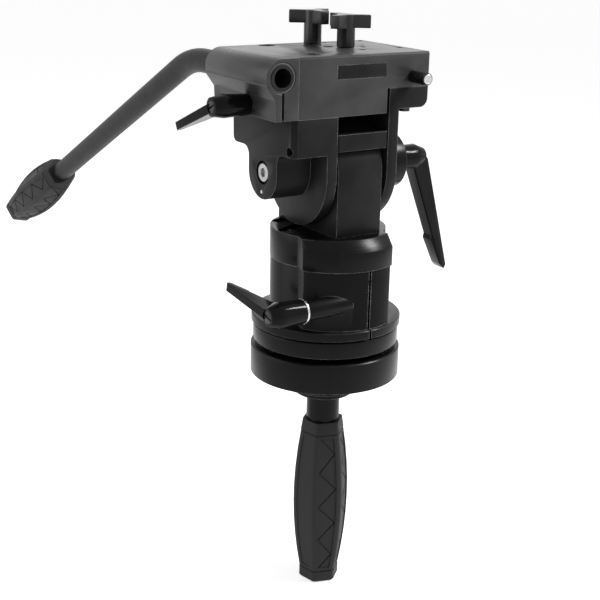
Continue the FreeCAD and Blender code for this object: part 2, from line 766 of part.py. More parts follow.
def tilt_drag_stators():
    bore_r = axle_r + stator_bore_gap
    return [ring(tower_cavity_r, bore_r, disc_t, (tilt_stack_x(2 * i + 1), 0, tilt_z), X_AXIS)
            for i in range(tilt_stator_count)]


def tilt_thrust_washers():
    left = ring(washer_r, axle_r, washer_t, (cradle_inner_x, 0, tilt_z), X_AXIS)
    right_x = tower_half_w + washer_gap
    return [left, ring(washer_r, axle_r, washer_t, (right_x, 0, tilt_z), X_AXIS)]


def lobe_profile(x0, x1):
    """The rounded lobe with concave fillets into the housing's underside."""
    lobe = cyl(lobe_r, x1 - x0, (x0, 0, tilt_z), X_AXIS)
    neck = box(x0, x1, -lobe_r, lobe_r, tilt_z, cradle_bottom_z)
    shape = lobe.fuse(neck)
    for side in (-1, 1):
        y_in = side * lobe_r
        y_out = side * (lobe_r + lobe_fillet)
        corner = box(x0, x1, min(y_in, y_out), max(y_in, y_out),
                     cradle_bottom_z - lobe_fillet, cradle_bottom_z)
        corner = corner.cut(cyl(lobe_fillet, x1 - x0,
                                (x0, y_out, cradle_bottom_z - lobe_fillet), X_AXIS))
        shape = shape.fuse(corner)
    return shape


def edge_at(shape, x=None, y=None, z=None, tol=0.05):
    """Straight edges that lie at the given coordinates."""
    found = []
    for edge in shape.Edges:
        b = edge.BoundBox
        spans = ((x, b.XMin, b.XMax), (y, b.YMin, b.YMax), (z, b.ZMin, b.ZMax))
        if all(want is None or (abs(lo - want) < tol and abs(hi - want) < tol)
               for want, lo, hi in spans):
            found.append(edge)
    return found


def left_cradle():
    plate_x = cradle_inner_x - plate_t
    upper = box(cradle_left_x, plate_x, plate_front_y, cradle_back_y, cradle_bottom_z, block_bottom_z)
    upper = upper.makeChamfer(cradle_edge, edge_at(upper, x=cradle_left_x, y=plate_front_y))
    upper = upper.makeFillet(cradle_back_corner, edge_at(upper, y=cradle_back_y, z=cradle_bottom_z))
    plate = cyl(plate_r, plate_t, (plate_x, 0, tilt_z), X_AXIS)
    shoulder = box(plate_x, cradle_inner_x, plate_front_y, -plate_front_y, tilt_z, block_bottom_z)
    body = upper.fuse([lobe_profile(cradle_left_x, plate_x), plate, shoulder])
    body = body.cut(cyl(axle_r, cradle_inner_x - axle_left_x, (axle_left_x, 0, tilt_z), X_AXIS))
    body = body.cut(cyl(axle_screw_shank_r, axle_left_x - cradle_left_x,
                        (cradle_left_x, 0, tilt_z), X_AXIS))
    body = body.cut(cyl(axle_recess_r, axle_recess_depth, (cradle_left_x, 0, tilt_z), X_AXIS))
    body = body.cut(cyl(side_hole_r, side_hole_depth, (cradle_left_x, side_hole_y, side_hole_z), X_AXIS))
    body = body.cut(cyl(dot_r, dot_depth, (cradle_left_x, dot_y, dot_z), X_AXIS))
    for x, y, _ in (socket_a, socket_b):
        body = body.cut(cyl(m8_r, block_bottom_z - m8_end_z, (x, y, m8_end_z)))
    return clean(body)


def index_dot():
    return cyl(dot_r, dot_depth, (cradle_left_x, dot_y, dot_z), X_AXIS)


def tilt_axle():
    end_x = tilt_lever_x - axle_end_gap
    body = cyl(axle_r, end_x - axle_left_x, (axle_left_x, 0, tilt_z), X_AXIS)
    body = body.cut(cyl(axle_screw_shank_r, axle_screw_end_x - axle_left_x,
                        (axle_left_x, 0, tilt_z), X_AXIS))
    body = body.cut(cyl(screw_r + thread_fit, tilt_lever_tail, (end_x - tilt_lever_tail, 0, tilt_z), X_AXIS))
    return clean(body)


def axle_screw():
    seat_x = cradle_left_x + axle_recess_depth
    face_x = cradle_left_x + axle_screw_sunk
    head = Part.makeCone(axle_screw_head_r, axle_screw_head_r - axle_screw_taper, seat_x - face_x,
                         V(seat_x, 0, tilt_z), -X_AXIS)
    hexagon = regular_prism(6, axle_screw_hex_r, axle_screw_hex_depth, (face_x, 0, tilt_z), X_AXIS)
    shank = cyl(axle_screw_shank_r, axle_screw_end_x - seat_x, (seat_x, 0, tilt_z), X_AXIS)
    return clean(head.fuse(shank).cut(hexagon))


def right_cheek():
    outer_x = cheek_inner_x + cheek_t
    plate = cyl(plate_r, cheek_t, (cheek_inner_x, 0, tilt_z), X_AXIS)
    wall = box(cheek_inner_x, outer_x, plate_front_y, -plate_front_y, tilt_z, cheek_top_z)
    flange = box(cheek_inner_x, cheek_flange_end_x, plate_front_y, -plate_front_y,
                 cheek_flange_z, cheek_top_z)
    flange = flange.makeFillet(cheek_corner_r, edge_at(flange, x=cheek_flange_end_x, z=cheek_flange_z))
    pad_x = tower_half_w + washer_gap + washer_t
    pad = cyl(cheek_pad_r, cheek_inner_x - pad_x, (pad_x, 0, tilt_z), X_AXIS)
    body = plate.fuse([wall, flange, pad])
    body = body.cut(cyl(axle_r, outer_x - pad_x, (pad_x, 0, tilt_z), X_AXIS))
    for side in (-1, 1):
        body = body.cut(cyl(m6_r, cheek_top_z - cheek_flange_z,
                            (cheek_screw_x, side * cheek_screw_y, cheek_flange_z)))
    return clean(body)


def right_drum():
    start = cheek_inner_x + cheek_t
    length = right_drum_end_x - start
    body = cyl(right_drum_r, length, (start, 0, tilt_z), X_AXIS)
    body = body.makeChamfer(right_drum_edge, edge_at(body, x=right_drum_end_x))
    cavity = ring(right_drum_r - right_drum_wall, axle_r + right_drum_wall,
                  length - right_drum_wall, (start, 0, tilt_z), X_AXIS)
    body = body.cut(cavity)
    return clean(body.cut(cyl(axle_r, length, (start, 0, tilt_z), X_AXIS)))


def top_block():
    body = box(block_left_x, block_end_x, block_front_y, block_back_y, block_bottom_z, block_top_z)
    notch = box(notch_x, block_end_x, block_front_y, block_back_y, block_bottom_z, notch_z)
    body = body.cut(notch)
    body = body.makeChamfer(block_edge, edge_at(body, y=block_front_y, z=block_top_z))
    body = body.cut(box(slot_left_x, slot_right_x, block_front_y, block_front_y + slot_depth,
                        slot_low_z, slot_high_z))
    for x, y, radius in (socket_a, socket_b):
        body = body.cut(cyl(radius, block_top_z - cradle_screw_head_z, (x, y, cradle_screw_head_z)))
        body = body.cut(cyl(m8_r, cradle_screw_head_z - block_bottom_z, (x, y, block_bottom_z)))
    x, y, radius = socket_c
    body = body.cut(cyl(radius, socket_c_depth, (x, y, block_top_z - socket_c_depth)))
    for x, y in small_holes:
        body = body.cut(cyl(small_hole_r, small_hole_depth, (x, y, block_top_z - small_hole_depth)))
    for x, y in (rear_knob, front_knob):
        depth = knob_stud_depth + blind_end
        body = body.cut(cyl(knob_stud_r + thread_fit, depth, (x, y, block_top_z - depth)))
    for side in (-1, 1):
        body = body.cut(cyl(m6_r, cheek_screw_end_z - notch_z,
                            (cheek_screw_x, side * cheek_screw_y, notch_z)))
    body = body.cut(cyl(thumb_shank_r + thread_fit, thumb_shank_depth + blind_end,
                        (thumb_x, block_front_y, thumb_z), Y_AXIS))
    for y in clamp_screw_ys:
        body = body.cut(cyl(m6_r, clamp_screw_end_x - block_left_x,
                            (block_left_x, y, clamp_screw_z), X_AXIS))
    return clean(body)


def cradle_screws():
    length = cradle_screw_head_z - m8_end_z
    return [socket_screw(m8_r, m8_head_r, m8_head_h, length, (x, y, cradle_screw_head_z), -Z_AXIS)
            for x, y, _ in (socket_a, socket_b)]


def cheek_screws():
    length = cheek_screw_end_z - cheek_flange_z
    return [socket_screw(m6_r, m6_head_r, m6_head_h, length,
                         (cheek_screw_x, side * cheek_screw_y, cheek_flange_z), Z_AXIS)
            for side in (-1, 1)]


def tie_bars():
    bars = []
    for side in (-1, 1):
        y_out = side * -plate_front_y
        y_in = y_out - side * bar_t
        bar = box(cradle_inner_x, cheek_inner_x, min(y_in, y_out), max(y_in, y_out), bar_z0, bar_z1)
        bars.append(bar.makeFillet(bar_round, edge_at(bar, y=y_out)[:2]))
    return bars


def front_plate():
    gap = front_plate_gap
    y_back = block_front_y + slot_depth
    return box(slot_left_x + gap, slot_right_x - gap, y_back - front_plate_t, y_back,
               slot_low_z + gap, slot_high_z - gap)


def bar_clamp():
    y0 = block_front_y
    depth = block_back_y - y0
    barrel = cyl(clamp_barrel_r, depth, (bar_x, y0, bar_z), Y_AXIS)
    inner = block_left_x
    web = prism([(inner, y0, block_bottom_z), (inner, y0, block_top_z), (bar_x, y0, block_top_z),
                 (bar_x - clamp_barrel_r, y0, clamp_diag_top_z),
                 (clamp_diag_x, y0, clamp_diag_z), (clamp_wall_x, y0, block_bottom_z)], V(0, depth, 0))
    body = barrel.fuse(web)
    body = body.cut(cyl(sleeve_r + sleeve_fit, depth, (bar_x, y0, bar_z), Y_AXIS))
    flare = Part.makeCone(sleeve_r + sleeve_fit + clamp_bore_edge, sleeve_r + sleeve_fit,
                          clamp_bore_edge, V(bar_x, y0, bar_z), Y_AXIS)
    body = body.cut(flare)
    half_slit = clamp_slit_w / 2
    body = body.cut(box(clamp_slit_x - half_slit, clamp_slit_x + half_slit, y0, y0 + depth,
                        block_bottom_z, bar_z))
    thread_r = SMALL_LEVER["thread_r"]
    mouth_x = clamp_wall_x - clamp_overcut
    thread_end_x = clamp_lever_x + clamp_lever_tail + blind_end
    body = body.cut(cyl(thread_r + screw_clearance, clamp_slit_x - mouth_x,
                        (mouth_x, clamp_lever_y, clamp_lever_z), X_AXIS))
    body = body.cut(cyl(thread_r + thread_fit, thread_end_x - clamp_slit_x,
                        (clamp_slit_x, clamp_lever_y, clamp_lever_z), X_AXIS))
    seat_x = clamp_head_seat_x()
    for y in clamp_screw_ys:
        body = body.cut(cyl(m6_r, inner - seat_x, (seat_x, y, clamp_screw_z), X_AXIS))
        body = body.cut(cyl(m6_head_r + head_room, seat_x - mouth_x, (mouth_x, y, clamp_screw_z), X_AXIS))
    return clean(body)


def clamp_head_seat_x():
    return clamp_slit_x + clamp_slit_w / 2 + clamp_head_sunk


def clamp_screws():
    seat_x = clamp_head_seat_x()
    return [socket_screw(m6_r, m6_head_r, m6_head_h, clamp_screw_end_x - seat_x,
                         (seat_x, y, clamp_screw_z), X_AXIS)
            for y in clamp_screw_ys]


def bar_sleeve():
    length = sleeve_back_y - sleeve_front_y
    return ring(sleeve_r, bar_r + sleeve_fit, length, (bar_x, sleeve_front_y, bar_z), Y_AXIS)


def bar_path_points():
    """Start of the bend, middle of the bend and end of the bend in (y, z)."""
    drop = math.radians(bar_drop_deg)
    tangent = bar_bend_r * math.tan(drop / 2)
    y_start = bar_corner_y - tangent
    centre_z = bar_z - bar_bend_r
    mid = (y_start + bar_bend_r * math.sin(drop / 2), centre_z + bar_bend_r * math.cos(drop / 2))
    end = (y_start + bar_bend_r * math.sin(drop), centre_z + bar_bend_r * math.cos(drop))
    return (y_start, bar_z), mid, end


def bar_swept(radius):
    """A round bar of the given radius along the straight, the bend and the slope."""
    start, _, end = bar_path_points()
    drop = math.radians(bar_drop_deg)
    straight = cyl(radius, start[0] - bar_front_y, (bar_x, bar_front_y, bar_z), Y_AXIS)
    profile = Part.Face(Part.Wire(Part.makeCircle(radius, V(bar_x, start[0], bar_z), Y_AXIS)))
    bend = profile.revolve(V(bar_x, start[0], bar_z - bar_bend_r), -X_AXIS, bar_drop_deg)
    slope = cyl(radius, bar_straight_len, (bar_x, end[0], end[1]),
                V(0, math.cos(drop), -math.sin(drop)))
    return straight.fuse([bend, slope])


def pan_bar():
    return clean(bar_swept(bar_r).cut(bar_swept(bar_bore_r)))


def pan_bar_grip():
    _, _, end = bar_path_points()
    drop = math.radians(bar_drop_deg)
    direction = V(0, math.cos(drop), -math.sin(drop))
    body = grip_barrel(bar_grip_len, bar_grip_r, bar_grip_end_r, bar_grip_tail_r, bar_grip_mouth_r)
    body.rotate(V(0, 0, 0), Z_AXIS, bar_grip_turn)
    body = body.cut(cyl(bar_r, bar_grip_len - bar_grip_overhang, (0, 0, bar_grip_overhang - bar_grip_len)))
    along = bar_straight_len + bar_grip_overhang - bar_grip_len
    start = V(bar_x, end[0], end[1]) + direction * along
    body.Placement = FreeCAD.Placement(start, FreeCAD.Rotation(-Z_AXIS, direction)).multiply(body.Placement)
    return clean(body)


def lever_frame(origin, direction, turn):
    """Placement with local Z along the lever's axis and local X straight up, then turned."""
    z_dir = V(*direction)
    x_dir = Z_AXIS
    y_dir = z_dir.cross(x_dir)
    matrix = FreeCAD.Matrix(x_dir.x, y_dir.x, z_dir.x, 0,
                            x_dir.y, y_dir.y, z_dir.y, 0,
                            x_dir.z, y_dir.z, z_dir.z, 0,
                            0, 0, 0, 1)
    aim = FreeCAD.Placement(matrix).Rotation
    spin = FreeCAD.Rotation(z_dir, turn)
    return FreeCAD.Placement(V(*origin), spin.multiply(aim))


def lever_outline_w(size, r, inner):
    """Height w of the arm's inner or outer edge at a distance r along the arm."""
    low, high = (0, size["neck_w"]) if inner else (size["shoulder_r"], size["shoulder_w"])
    end_r = size["reach"] - size["tip_round"]
    end_w = size["tip_in_w"] if inner else size["tip_out_w"]
    return high + (end_w - high) * (r - low) / (end_r - low)


def lever_arm(size):
    """The leaning arm: wide at the hub, thinner to the tip, with a thumb rest on its inner edge."""
    half, tip_half = size["thickness"] / 2, size["tip_thickness"] / 2
    reach, tip_round = size["reach"], size["tip_round"]
    outline = [(0, size["neck_w"]), (reach - tip_round, size["tip_in_w"]),
               (reach, size["tip_in_w"] + tip_round), (reach, size["tip_out_w"] - tip_round / 2),
               (reach - tip_round, size["tip_out_w"]), (size["shoulder_r"], size["shoulder_w"]),
               (0, size["hub_len"])]
    arm = prism([(r, -half, w) for r, w in outline], V(0, 2 * half, 0))
    wedge = prism([(0, -half, 0), (0, half, 0), (reach, tip_half, 0), (reach, -tip_half, 0)],
                  V(0, 0, size["tip_out_w"] + tip_round))
    arm = arm.common(wedge)
    long_edges = [e for e in arm.Edges if e.Length > reach / 2]
    arm = arm.makeFillet(size["rounding"], long_edges)
    peak_r = size["thumb_peak_r"]
    rest = [(size["thumb_from_r"], lever_outline_w(size, size["thumb_from_r"], True)),
            (peak_r, lever_outline_w(size, peak_r, True) - size["thumb_h"]),
            (reach - tip_round, size["tip_in_w"]),
            (peak_r, lever_outline_w(size, peak_r, False) - size["rounding"])]
    thumb_half = tip_half - size["rounding"] / 2
    return arm.fuse(prism([(r, -thumb_half, w) for r, w in rest], V(0, 2 * thumb_half, 0)))


def lever_handle(size, origin, direction, turn):
    """The moulded handle: waisted hub with a toothed bore, spring well and a leaning arm."""
    hub_len = size["hub_len"]
    hub = turned([(0, 0), (size["hub_root_r"], 0), (size["hub_r"], size["hub_crest_w"]),
                  (size["hub_end_r"], hub_len), (0, hub_len)])
    body = hub.fuse(lever_arm(size))
    plain_w = lever_tooth_len + lever_tooth_gap
    body = body.cut(star(lever_teeth, size["tooth_r"] + lever_fit, size["root_r"] + lever_fit, plain_w, 0))
    body = body.cut(cyl(size["bore_r"], size["web_w"] - plain_w, (0, 0, plain_w)))
    body = body.cut(cyl(size["screw_r"] + lever_fit, hub_len, (0, 0, 0)))
    body = body.cut(cyl(size["well_r"], hub_len, (0, 0, size["web_w"] + size["web_t"])))
    body = clean(body)
    body.Placement = lever_frame(origin, direction, turn)
    return body


def lever_insert(size, tail, origin, direction, turn):
    """The steel insert: toothed ring, plain core and threaded tail."""
    teeth = star(lever_teeth, size["tooth_r"], size["root_r"], lever_tooth_len, 0)
    core = cyl(size["core_r"], size["core_len"], (0, 0, 0))
    thread = cyl(size["thread_r"], tail, (0, 0, -tail))
    body = teeth.fuse([core, thread])
    hole = cyl(size["screw_r"], size["core_len"] - lever_blind_wall, (0, 0, lever_blind_wall))
    body = clean(body.cut(hole))
    body.Placement = lever_frame(origin, direction, turn)
    return body


def lever_screw(size, origin, direction, turn):
    """The slotted retaining screw in the end of the hub."""
    hub_len = size["hub_len"]
    head_w = hub_len - size["head_t"]
    shank = cyl(size["screw_r"], head_w - lever_screw_depth, (0, 0, lever_screw_depth))
    head = cyl(size["head_r"], size["head_t"], (0, 0, head_w))
    slot = box(-size["hub_r"], size["hub_r"], -lever_slot_half_w, lever_slot_half_w,
               hub_len - lever_slot_depth, hub_len)
    body = clean(shank.fuse(head).cut(slot))
    body.Placement = lever_frame(origin, direction, turn)
    return body


def lever_spring(size, origin, direction, turn):
    """The coil spring that holds the handle down on the teeth, as long as the lifted handle leaves it."""
    wire = size["spring_wire"]
    floor_w = size["web_w"] + size["web_t"]
    room = size["hub_len"] - size["head_t"] - floor_w
    length = room - handle_lift - spring_clearance - wire
    helix = Part.makeHelix(length / spring_turns, length, size["spring_r"])
    profile = Part.Wire(Part.makeCircle(wire / 2, V(size["spring_r"], 0, 0), Y_AXIS))
    body = Part.Wire(helix).makePipeShell([profile], True, True)
    body.translate(V(0, 0, floor_w + wire / 2 + spring_seat_gap))
    body.Placement = lever_frame(origin, direction, turn).multiply(body.Placement)
    return body


def lobe_knob(x, y, lobe_z, turn):
    """A round stem that carries three flat lobes."""
    base = block_top_z + knob_seat_gap
    top = lobe_z + knob_lobe_h
    stem = cyl(knob_stem_r, top - base, (x, y, base))
    body = stem.makeFillet(knob_foot_round, [e for e in stem.Edges if e.Closed and e.BoundBox.ZMax < lobe_z])
    for i in range(knob_lobe_count):
        lobe = box(x, x + knob_lobe_reach, y - knob_lobe_half_w, y + knob_lobe_half_w, lobe_z, top)
        lobe = lobe.makeChamfer(knob_lobe_edge, edge_at(lobe, x=x + knob_lobe_reach))
        lobe.rotate(V(x, y, 0), Z_AXIS, turn + 360.0 / knob_lobe_count * i)
        body = body.fuse(lobe)
    return clean(body.cut(cyl(knob_stud_r, knob_stud_top_z - base, (x, y, base))))


def knob_stud(x, y):
    bottom = block_top_z - knob_stud_depth
    body = cyl(knob_stud_r, knob_stud_top_z - bottom, (x, y, bottom))
    low_edges = [e for e in body.Edges if e.Closed and e.BoundBox.ZMax < block_top_z]
    return body.makeChamfer(knob_stud_edge, low_edges)


def thumb_screw():
    front_y = block_front_y - thumb_seat_gap - thumb_len
    core = cyl(thumb_core_r, thumb_len, (thumb_x, front_y, thumb_z), Y_AXIS)
    core = core.makeFillet(thumb_end_round, edge_at(core, y=front_y))
    shank = cyl(thumb_shank_r, thumb_shank_depth + thumb_seat_gap,
                (thumb_x, block_front_y - thumb_seat_gap, thumb_z), Y_AXIS)
    return clean(core.fuse(shank))


def thumb_screw_sleeve():
    length = thumb_len - thumb_end_show
    y0 = block_front_y - thumb_seat_gap - length
    body = ring(thumb_r, thumb_core_r, length, (thumb_x, y0, thumb_z), Y_AXIS)
    for i in range(thumb_flutes):
        angle = 2 * math.pi * i / thumb_flutes
        flute = cyl(thumb_flute_r, length, (thumb_x + thumb_r * math.cos(angle), y0,
                                            thumb_z + thumb_r * math.sin(angle)), Y_AXIS)
        body = body.cut(flute)
    return clean(body)


def pan_lock_washer():
    bore_r = screw_r + screw_clearance
    return ring(pan_washer_r, bore_r, pan_washer_t, (boss_end_x, boss_y, boss_z), -X_AXIS)


TILT_LEVER = ((tilt_lever_x, 0, tilt_z), (1, 0, 0), tilt_lever_turn)
PAN_LEVER = ((pan_lever_x, boss_y, boss_z), (-1, 0, 0), pan_lever_turn)
CLAMP_LEVER = ((clamp_lever_x, clamp_lever_y, clamp_lever_z), (-1, 0, 0), clamp_lever_turn)

PARTS = {
    "levelling_bowl": levelling_bowl,
    "dish_washer": dish_washer,
    "half_ball": half_ball,
    "half_ball_screws": half_ball_screws,
    "base_disc": base_disc,
    "pan_drum": pan_drum,
    "drum_screws": drum_screws,
    "pan_bearings": pan_bearings,
    "pan_drag_stators": pan_drag_stators,
    "pan_drag_rotors": pan_drag_rotors,
    "tie_down_stud": tie_down_stud,
    "tie_down_insert": tie_down_insert,
    "tie_down_grip": tie_down_grip,
    "clamp_body": clamp_body,
    "turret_cap": turret_cap,
    "cap_screws": cap_screws,
    "pan_spindle": pan_spindle,
    "spindle_screws": spindle_screws,
    "spindle_nut": spindle_nut,
    "tower": tower,
    "tower_screws": tower_screws,
    "tilt_bearings": tilt_bearings,
    "tilt_drag_rotors": tilt_drag_rotors,
    "tilt_drag_stators": tilt_drag_stators,
    "tilt_thrust_washers": tilt_thrust_washers,
    "left_cradle": left_cradle,
    "index_dot": index_dot,
    "tilt_axle": tilt_axle,
    "axle_screw": axle_screw,
    "right_cheek": right_cheek,
    "right_drum": right_drum,
    "top_block": top_block,
    "cradle_screws": cradle_screws,
    "cheek_screws": cheek_screws,
    "tie_bars": tie_bars,
    "front_plate": front_plate,
    "bar_clamp": bar_clamp,
    "clamp_screws": clamp_screws,
    "bar_sleeve": bar_sleeve,
    "pan_bar": pan_bar,
    "pan_bar_grip": pan_bar_grip,
    "tilt_lever_insert": lambda: lever_insert(LARGE_LEVER, tilt_lever_tail, *TILT_LEVER),
    "tilt_lever_handle": lambda: lever_handle(LARGE_LEVER, *TILT_LEVER),
    "tilt_lever_screw": lambda: lever_screw(LARGE_LEVER, *TILT_LEVER),
    "tilt_lever_spring": lambda: lever_spring(LARGE_LEVER, *TILT_LEVER),
    "pan_lever_insert": lambda: lever_insert(MIDDLE_LEVER, pan_lever_tail, *PAN_LEVER),
    "pan_lever_handle": lambda: lever_handle(MIDDLE_LEVER, *PAN_LEVER),
    "pan_lever_screw": lambda: lever_screw(MIDDLE_LEVER, *PAN_LEVER),
    "pan_lever_spring": lambda: lever_spring(MIDDLE_LEVER, *PAN_LEVER),
    "pan_lock_washer": pan_lock_washer,
    "clamp_lever_insert": lambda: lever_insert(SMALL_LEVER, clamp_lever_tail, *CLAMP_LEVER),
    "clamp_lever_handle": lambda: lever_handle(SMALL_LEVER, *CLAMP_LEVER),
    "clamp_lever_screw": lambda: lever_screw(SMALL_LEVER, *CLAMP_LEVER),
    "clamp_lever_spring": lambda: lever_spring(SMALL_LEVER, *CLAMP_LEVER),
    "rear_lobe_knob": lambda: lobe_knob(*rear_knob, rear_lobe_z, rear_knob_turn),
    "rear_knob_stud": lambda: knob_stud(*rear_knob),
    "front_lobe_knob": lambda: lobe_knob(*front_knob, front_lobe_z, front_knob_turn),
    "front_knob_stud": lambda: knob_stud(*front_knob),
    "thumb_screw": thumb_screw,
    "thumb_screw_sleeve": thumb_screw_sleeve,
}


def write_parts():
    os.makedirs("parts", exist_ok=True)
    for name, build in PARTS.items():
        shape = build()
        if isinstance(shape, list):
            shape = Part.makeCompound([s for item in shape for s in item.Solids])
        shape.exportStep("parts/" + name + ".step")
        print(name, "solids", len(shape.Solids), "valid", shape.isValid())


write_parts()
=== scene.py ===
"""Pan and tilt fluid head: finishes, rounded machined pieces, moulded levers, knobs and rubber grips.

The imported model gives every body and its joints. This script dresses it, models the pieces whose
looks need more than the frame's plain solids, and sets the studio.
"""

import json
import logging
import math
from dataclasses import dataclass
from enum import Enum

import bpy
from mathutils import Matrix, Vector

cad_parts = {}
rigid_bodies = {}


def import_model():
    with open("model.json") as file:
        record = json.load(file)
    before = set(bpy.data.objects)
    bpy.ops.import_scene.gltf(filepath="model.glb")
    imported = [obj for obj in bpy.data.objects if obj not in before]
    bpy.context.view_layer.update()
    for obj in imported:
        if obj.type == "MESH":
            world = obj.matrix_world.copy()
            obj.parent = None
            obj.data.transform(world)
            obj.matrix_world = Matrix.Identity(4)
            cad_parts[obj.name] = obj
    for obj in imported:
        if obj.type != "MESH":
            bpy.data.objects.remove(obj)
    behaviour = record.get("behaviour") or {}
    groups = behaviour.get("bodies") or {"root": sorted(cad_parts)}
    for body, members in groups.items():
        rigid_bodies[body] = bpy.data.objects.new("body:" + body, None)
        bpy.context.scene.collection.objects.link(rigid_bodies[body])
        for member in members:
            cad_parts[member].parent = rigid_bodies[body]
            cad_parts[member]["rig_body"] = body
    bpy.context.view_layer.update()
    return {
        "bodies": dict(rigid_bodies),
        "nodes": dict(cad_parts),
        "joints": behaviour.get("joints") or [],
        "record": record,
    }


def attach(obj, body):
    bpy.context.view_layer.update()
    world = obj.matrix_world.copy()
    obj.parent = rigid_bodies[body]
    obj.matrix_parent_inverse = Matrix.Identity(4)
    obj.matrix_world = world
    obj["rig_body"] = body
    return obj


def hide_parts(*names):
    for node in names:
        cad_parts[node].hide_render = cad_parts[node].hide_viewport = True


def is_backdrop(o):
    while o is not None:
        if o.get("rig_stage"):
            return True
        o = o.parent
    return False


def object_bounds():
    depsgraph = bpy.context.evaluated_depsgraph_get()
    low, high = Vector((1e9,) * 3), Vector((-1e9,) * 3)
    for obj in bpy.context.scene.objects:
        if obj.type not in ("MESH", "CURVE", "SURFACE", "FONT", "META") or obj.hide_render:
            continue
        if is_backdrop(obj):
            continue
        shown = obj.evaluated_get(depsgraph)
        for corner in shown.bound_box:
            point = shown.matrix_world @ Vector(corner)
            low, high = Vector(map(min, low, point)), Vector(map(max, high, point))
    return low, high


LOG = logging.getLogger("pan_tilt_head")
EVEN = (1.0, 1.0, 1.0)
WHITE = (1.0, 1.0, 1.0, 1.0)


class Grain(Enum):
    """Direction of the fine lines that a tool leaves on a surface."""

    ALONG_X = "along_x"
    TURNED_Z = "turned_z"
    NONE = "none"


GRAIN_SCALE = {
    Grain.ALONG_X: (18.0, 1400.0, 1400.0),
    Grain.TURNED_Z: (6.0, 6.0, 1500.0),
    Grain.NONE: (300.0, 300.0, 300.0),
}


class Shader:
    """A node material under construction."""

    noise_low = 0.3
    noise_high = 0.7
    edge_samples = 4
    flat_cosine = 0.99
    edge_cosine = 0.85

    def __init__(self, name: str) -> None:
        """Start an empty node material.

        Args:
            name: Name of the material.
        """
        self.material = bpy.data.materials.new(name)
        self.material.use_nodes = True
        self.tree = self.material.node_tree
        self.tree.nodes.clear()
        self.output = self.tree.nodes.new("ShaderNodeOutputMaterial")
        self.surface = self.tree.nodes.new("ShaderNodeBsdfPrincipled")
        self.link(self.surface.outputs["BSDF"], self.output.inputs["Surface"])

    def node(self, kind: str, **values: object) -> bpy.types.Node:
        """Add a node and set its sockets by name.

        Args:
            kind: Blender's node type name.
            values: Socket values, spaces in socket names written as underscores.

        Returns:
            The new node.
        """
        made = self.tree.nodes.new(kind)
        for key, value in values.items():
            made.inputs[key.replace("_", " ")].default_value = value
        return made

    def link(self, source: bpy.types.NodeSocket, target: bpy.types.NodeSocket) -> None:
        """Join an output socket to an input socket."""
        self.tree.links.new(source, target)

    def noise(self, scale: tuple[float, float, float], size: float, detail: float) -> bpy.types.NodeSocket:
        """Noise on the object's own coordinates, stretched by a scale.

        Args:
            scale: How fast the pattern changes along each axis.
            size: Noise scale on top of that.
            detail: Octaves of detail.

        Returns:
            The noise value socket.
        """
        coords = self.node("ShaderNodeTexCoord")
        mapping = self.node("ShaderNodeMapping", Scale=scale)
        texture = self.node("ShaderNodeTexNoise", Scale=size, Detail=detail)
        self.link(coords.outputs["Object"], mapping.inputs["Vector"])
        self.link(mapping.outputs["Vector"], texture.inputs["Vector"])
        return texture.outputs["Fac"]

    def ranged(self, source: bpy.types.NodeSocket, low: float, high: float) -> bpy.types.NodeSocket:
        """Spread the middle of a noise value over a range.

        Args:
            source: The value socket.
            low: Result at the noise's low end.
            high: Result at the noise's high end.

        Returns:
            The spread value socket.
        """
        spread = self.node("ShaderNodeMapRange", From_Min=self.noise_low, From_Max=self.noise_high,
                           To_Min=low, To_Max=high)
        self.link(source, spread.inputs["Value"])
        return spread.outputs["Result"]

    def tinted(self, source: bpy.types.NodeSocket, dark: tuple[float, float, float],
               light: tuple[float, float, float]) -> bpy.types.NodeSocket:
        """Mix two colours by a value.

        Args:
            source: The value socket.
            dark: Colour at low values.
            light: Colour at high values.

        Returns:
            The colour socket.
        """
        ramp = self.node("ShaderNodeValToRGB")
        low, high = ramp.color_ramp.elements
        low.position = self.noise_low
        low.color = (*dark, 1.0)
        high.position = self.noise_high
        high.color = (*light, 1.0)
        self.link(source, ramp.inputs["Fac"])
        return ramp.outputs["Color"]

    def edge_mask(self, radius: float) -> bpy.types.NodeSocket:
        """A value that rises on convex and concave edges.

        Args:
            radius: Width of the edge zone in metres.

        Returns:
            The mask socket.
        """
        bevel = self.node("ShaderNodeBevel", Radius=radius)
        bevel.samples = self.edge_samples
        geometry = self.node("ShaderNodeNewGeometry")
        dot = self.node("ShaderNodeVectorMath")
        dot.operation = "DOT_PRODUCT"
        self.link(bevel.outputs["Normal"], dot.inputs[0])
        self.link(geometry.outputs["Normal"], dot.inputs[1])
        mask = self.node("ShaderNodeMapRange", From_Min=self.flat_cosine, From_Max=self.edge_cosine,
                         To_Min=0.0, To_Max=1.0)
        self.link(dot.outputs["Value"], mask.inputs["Value"])
        return mask.outputs["Result"]

    def bump(self, source: bpy.types.NodeSocket, strength: float, distance: float) -> None:
        """Raise the surface's normal by a value.

        Args:
            source: The height socket.
            strength: Bump strength.
            distance: Height in metres at a value of one.
        """
        bump = self.node("ShaderNodeBump", Strength=strength, Distance=distance)
        self.link(source, bump.inputs["Height"])
        self.link(bump.outputs["Normal"], self.surface.inputs["Normal"])


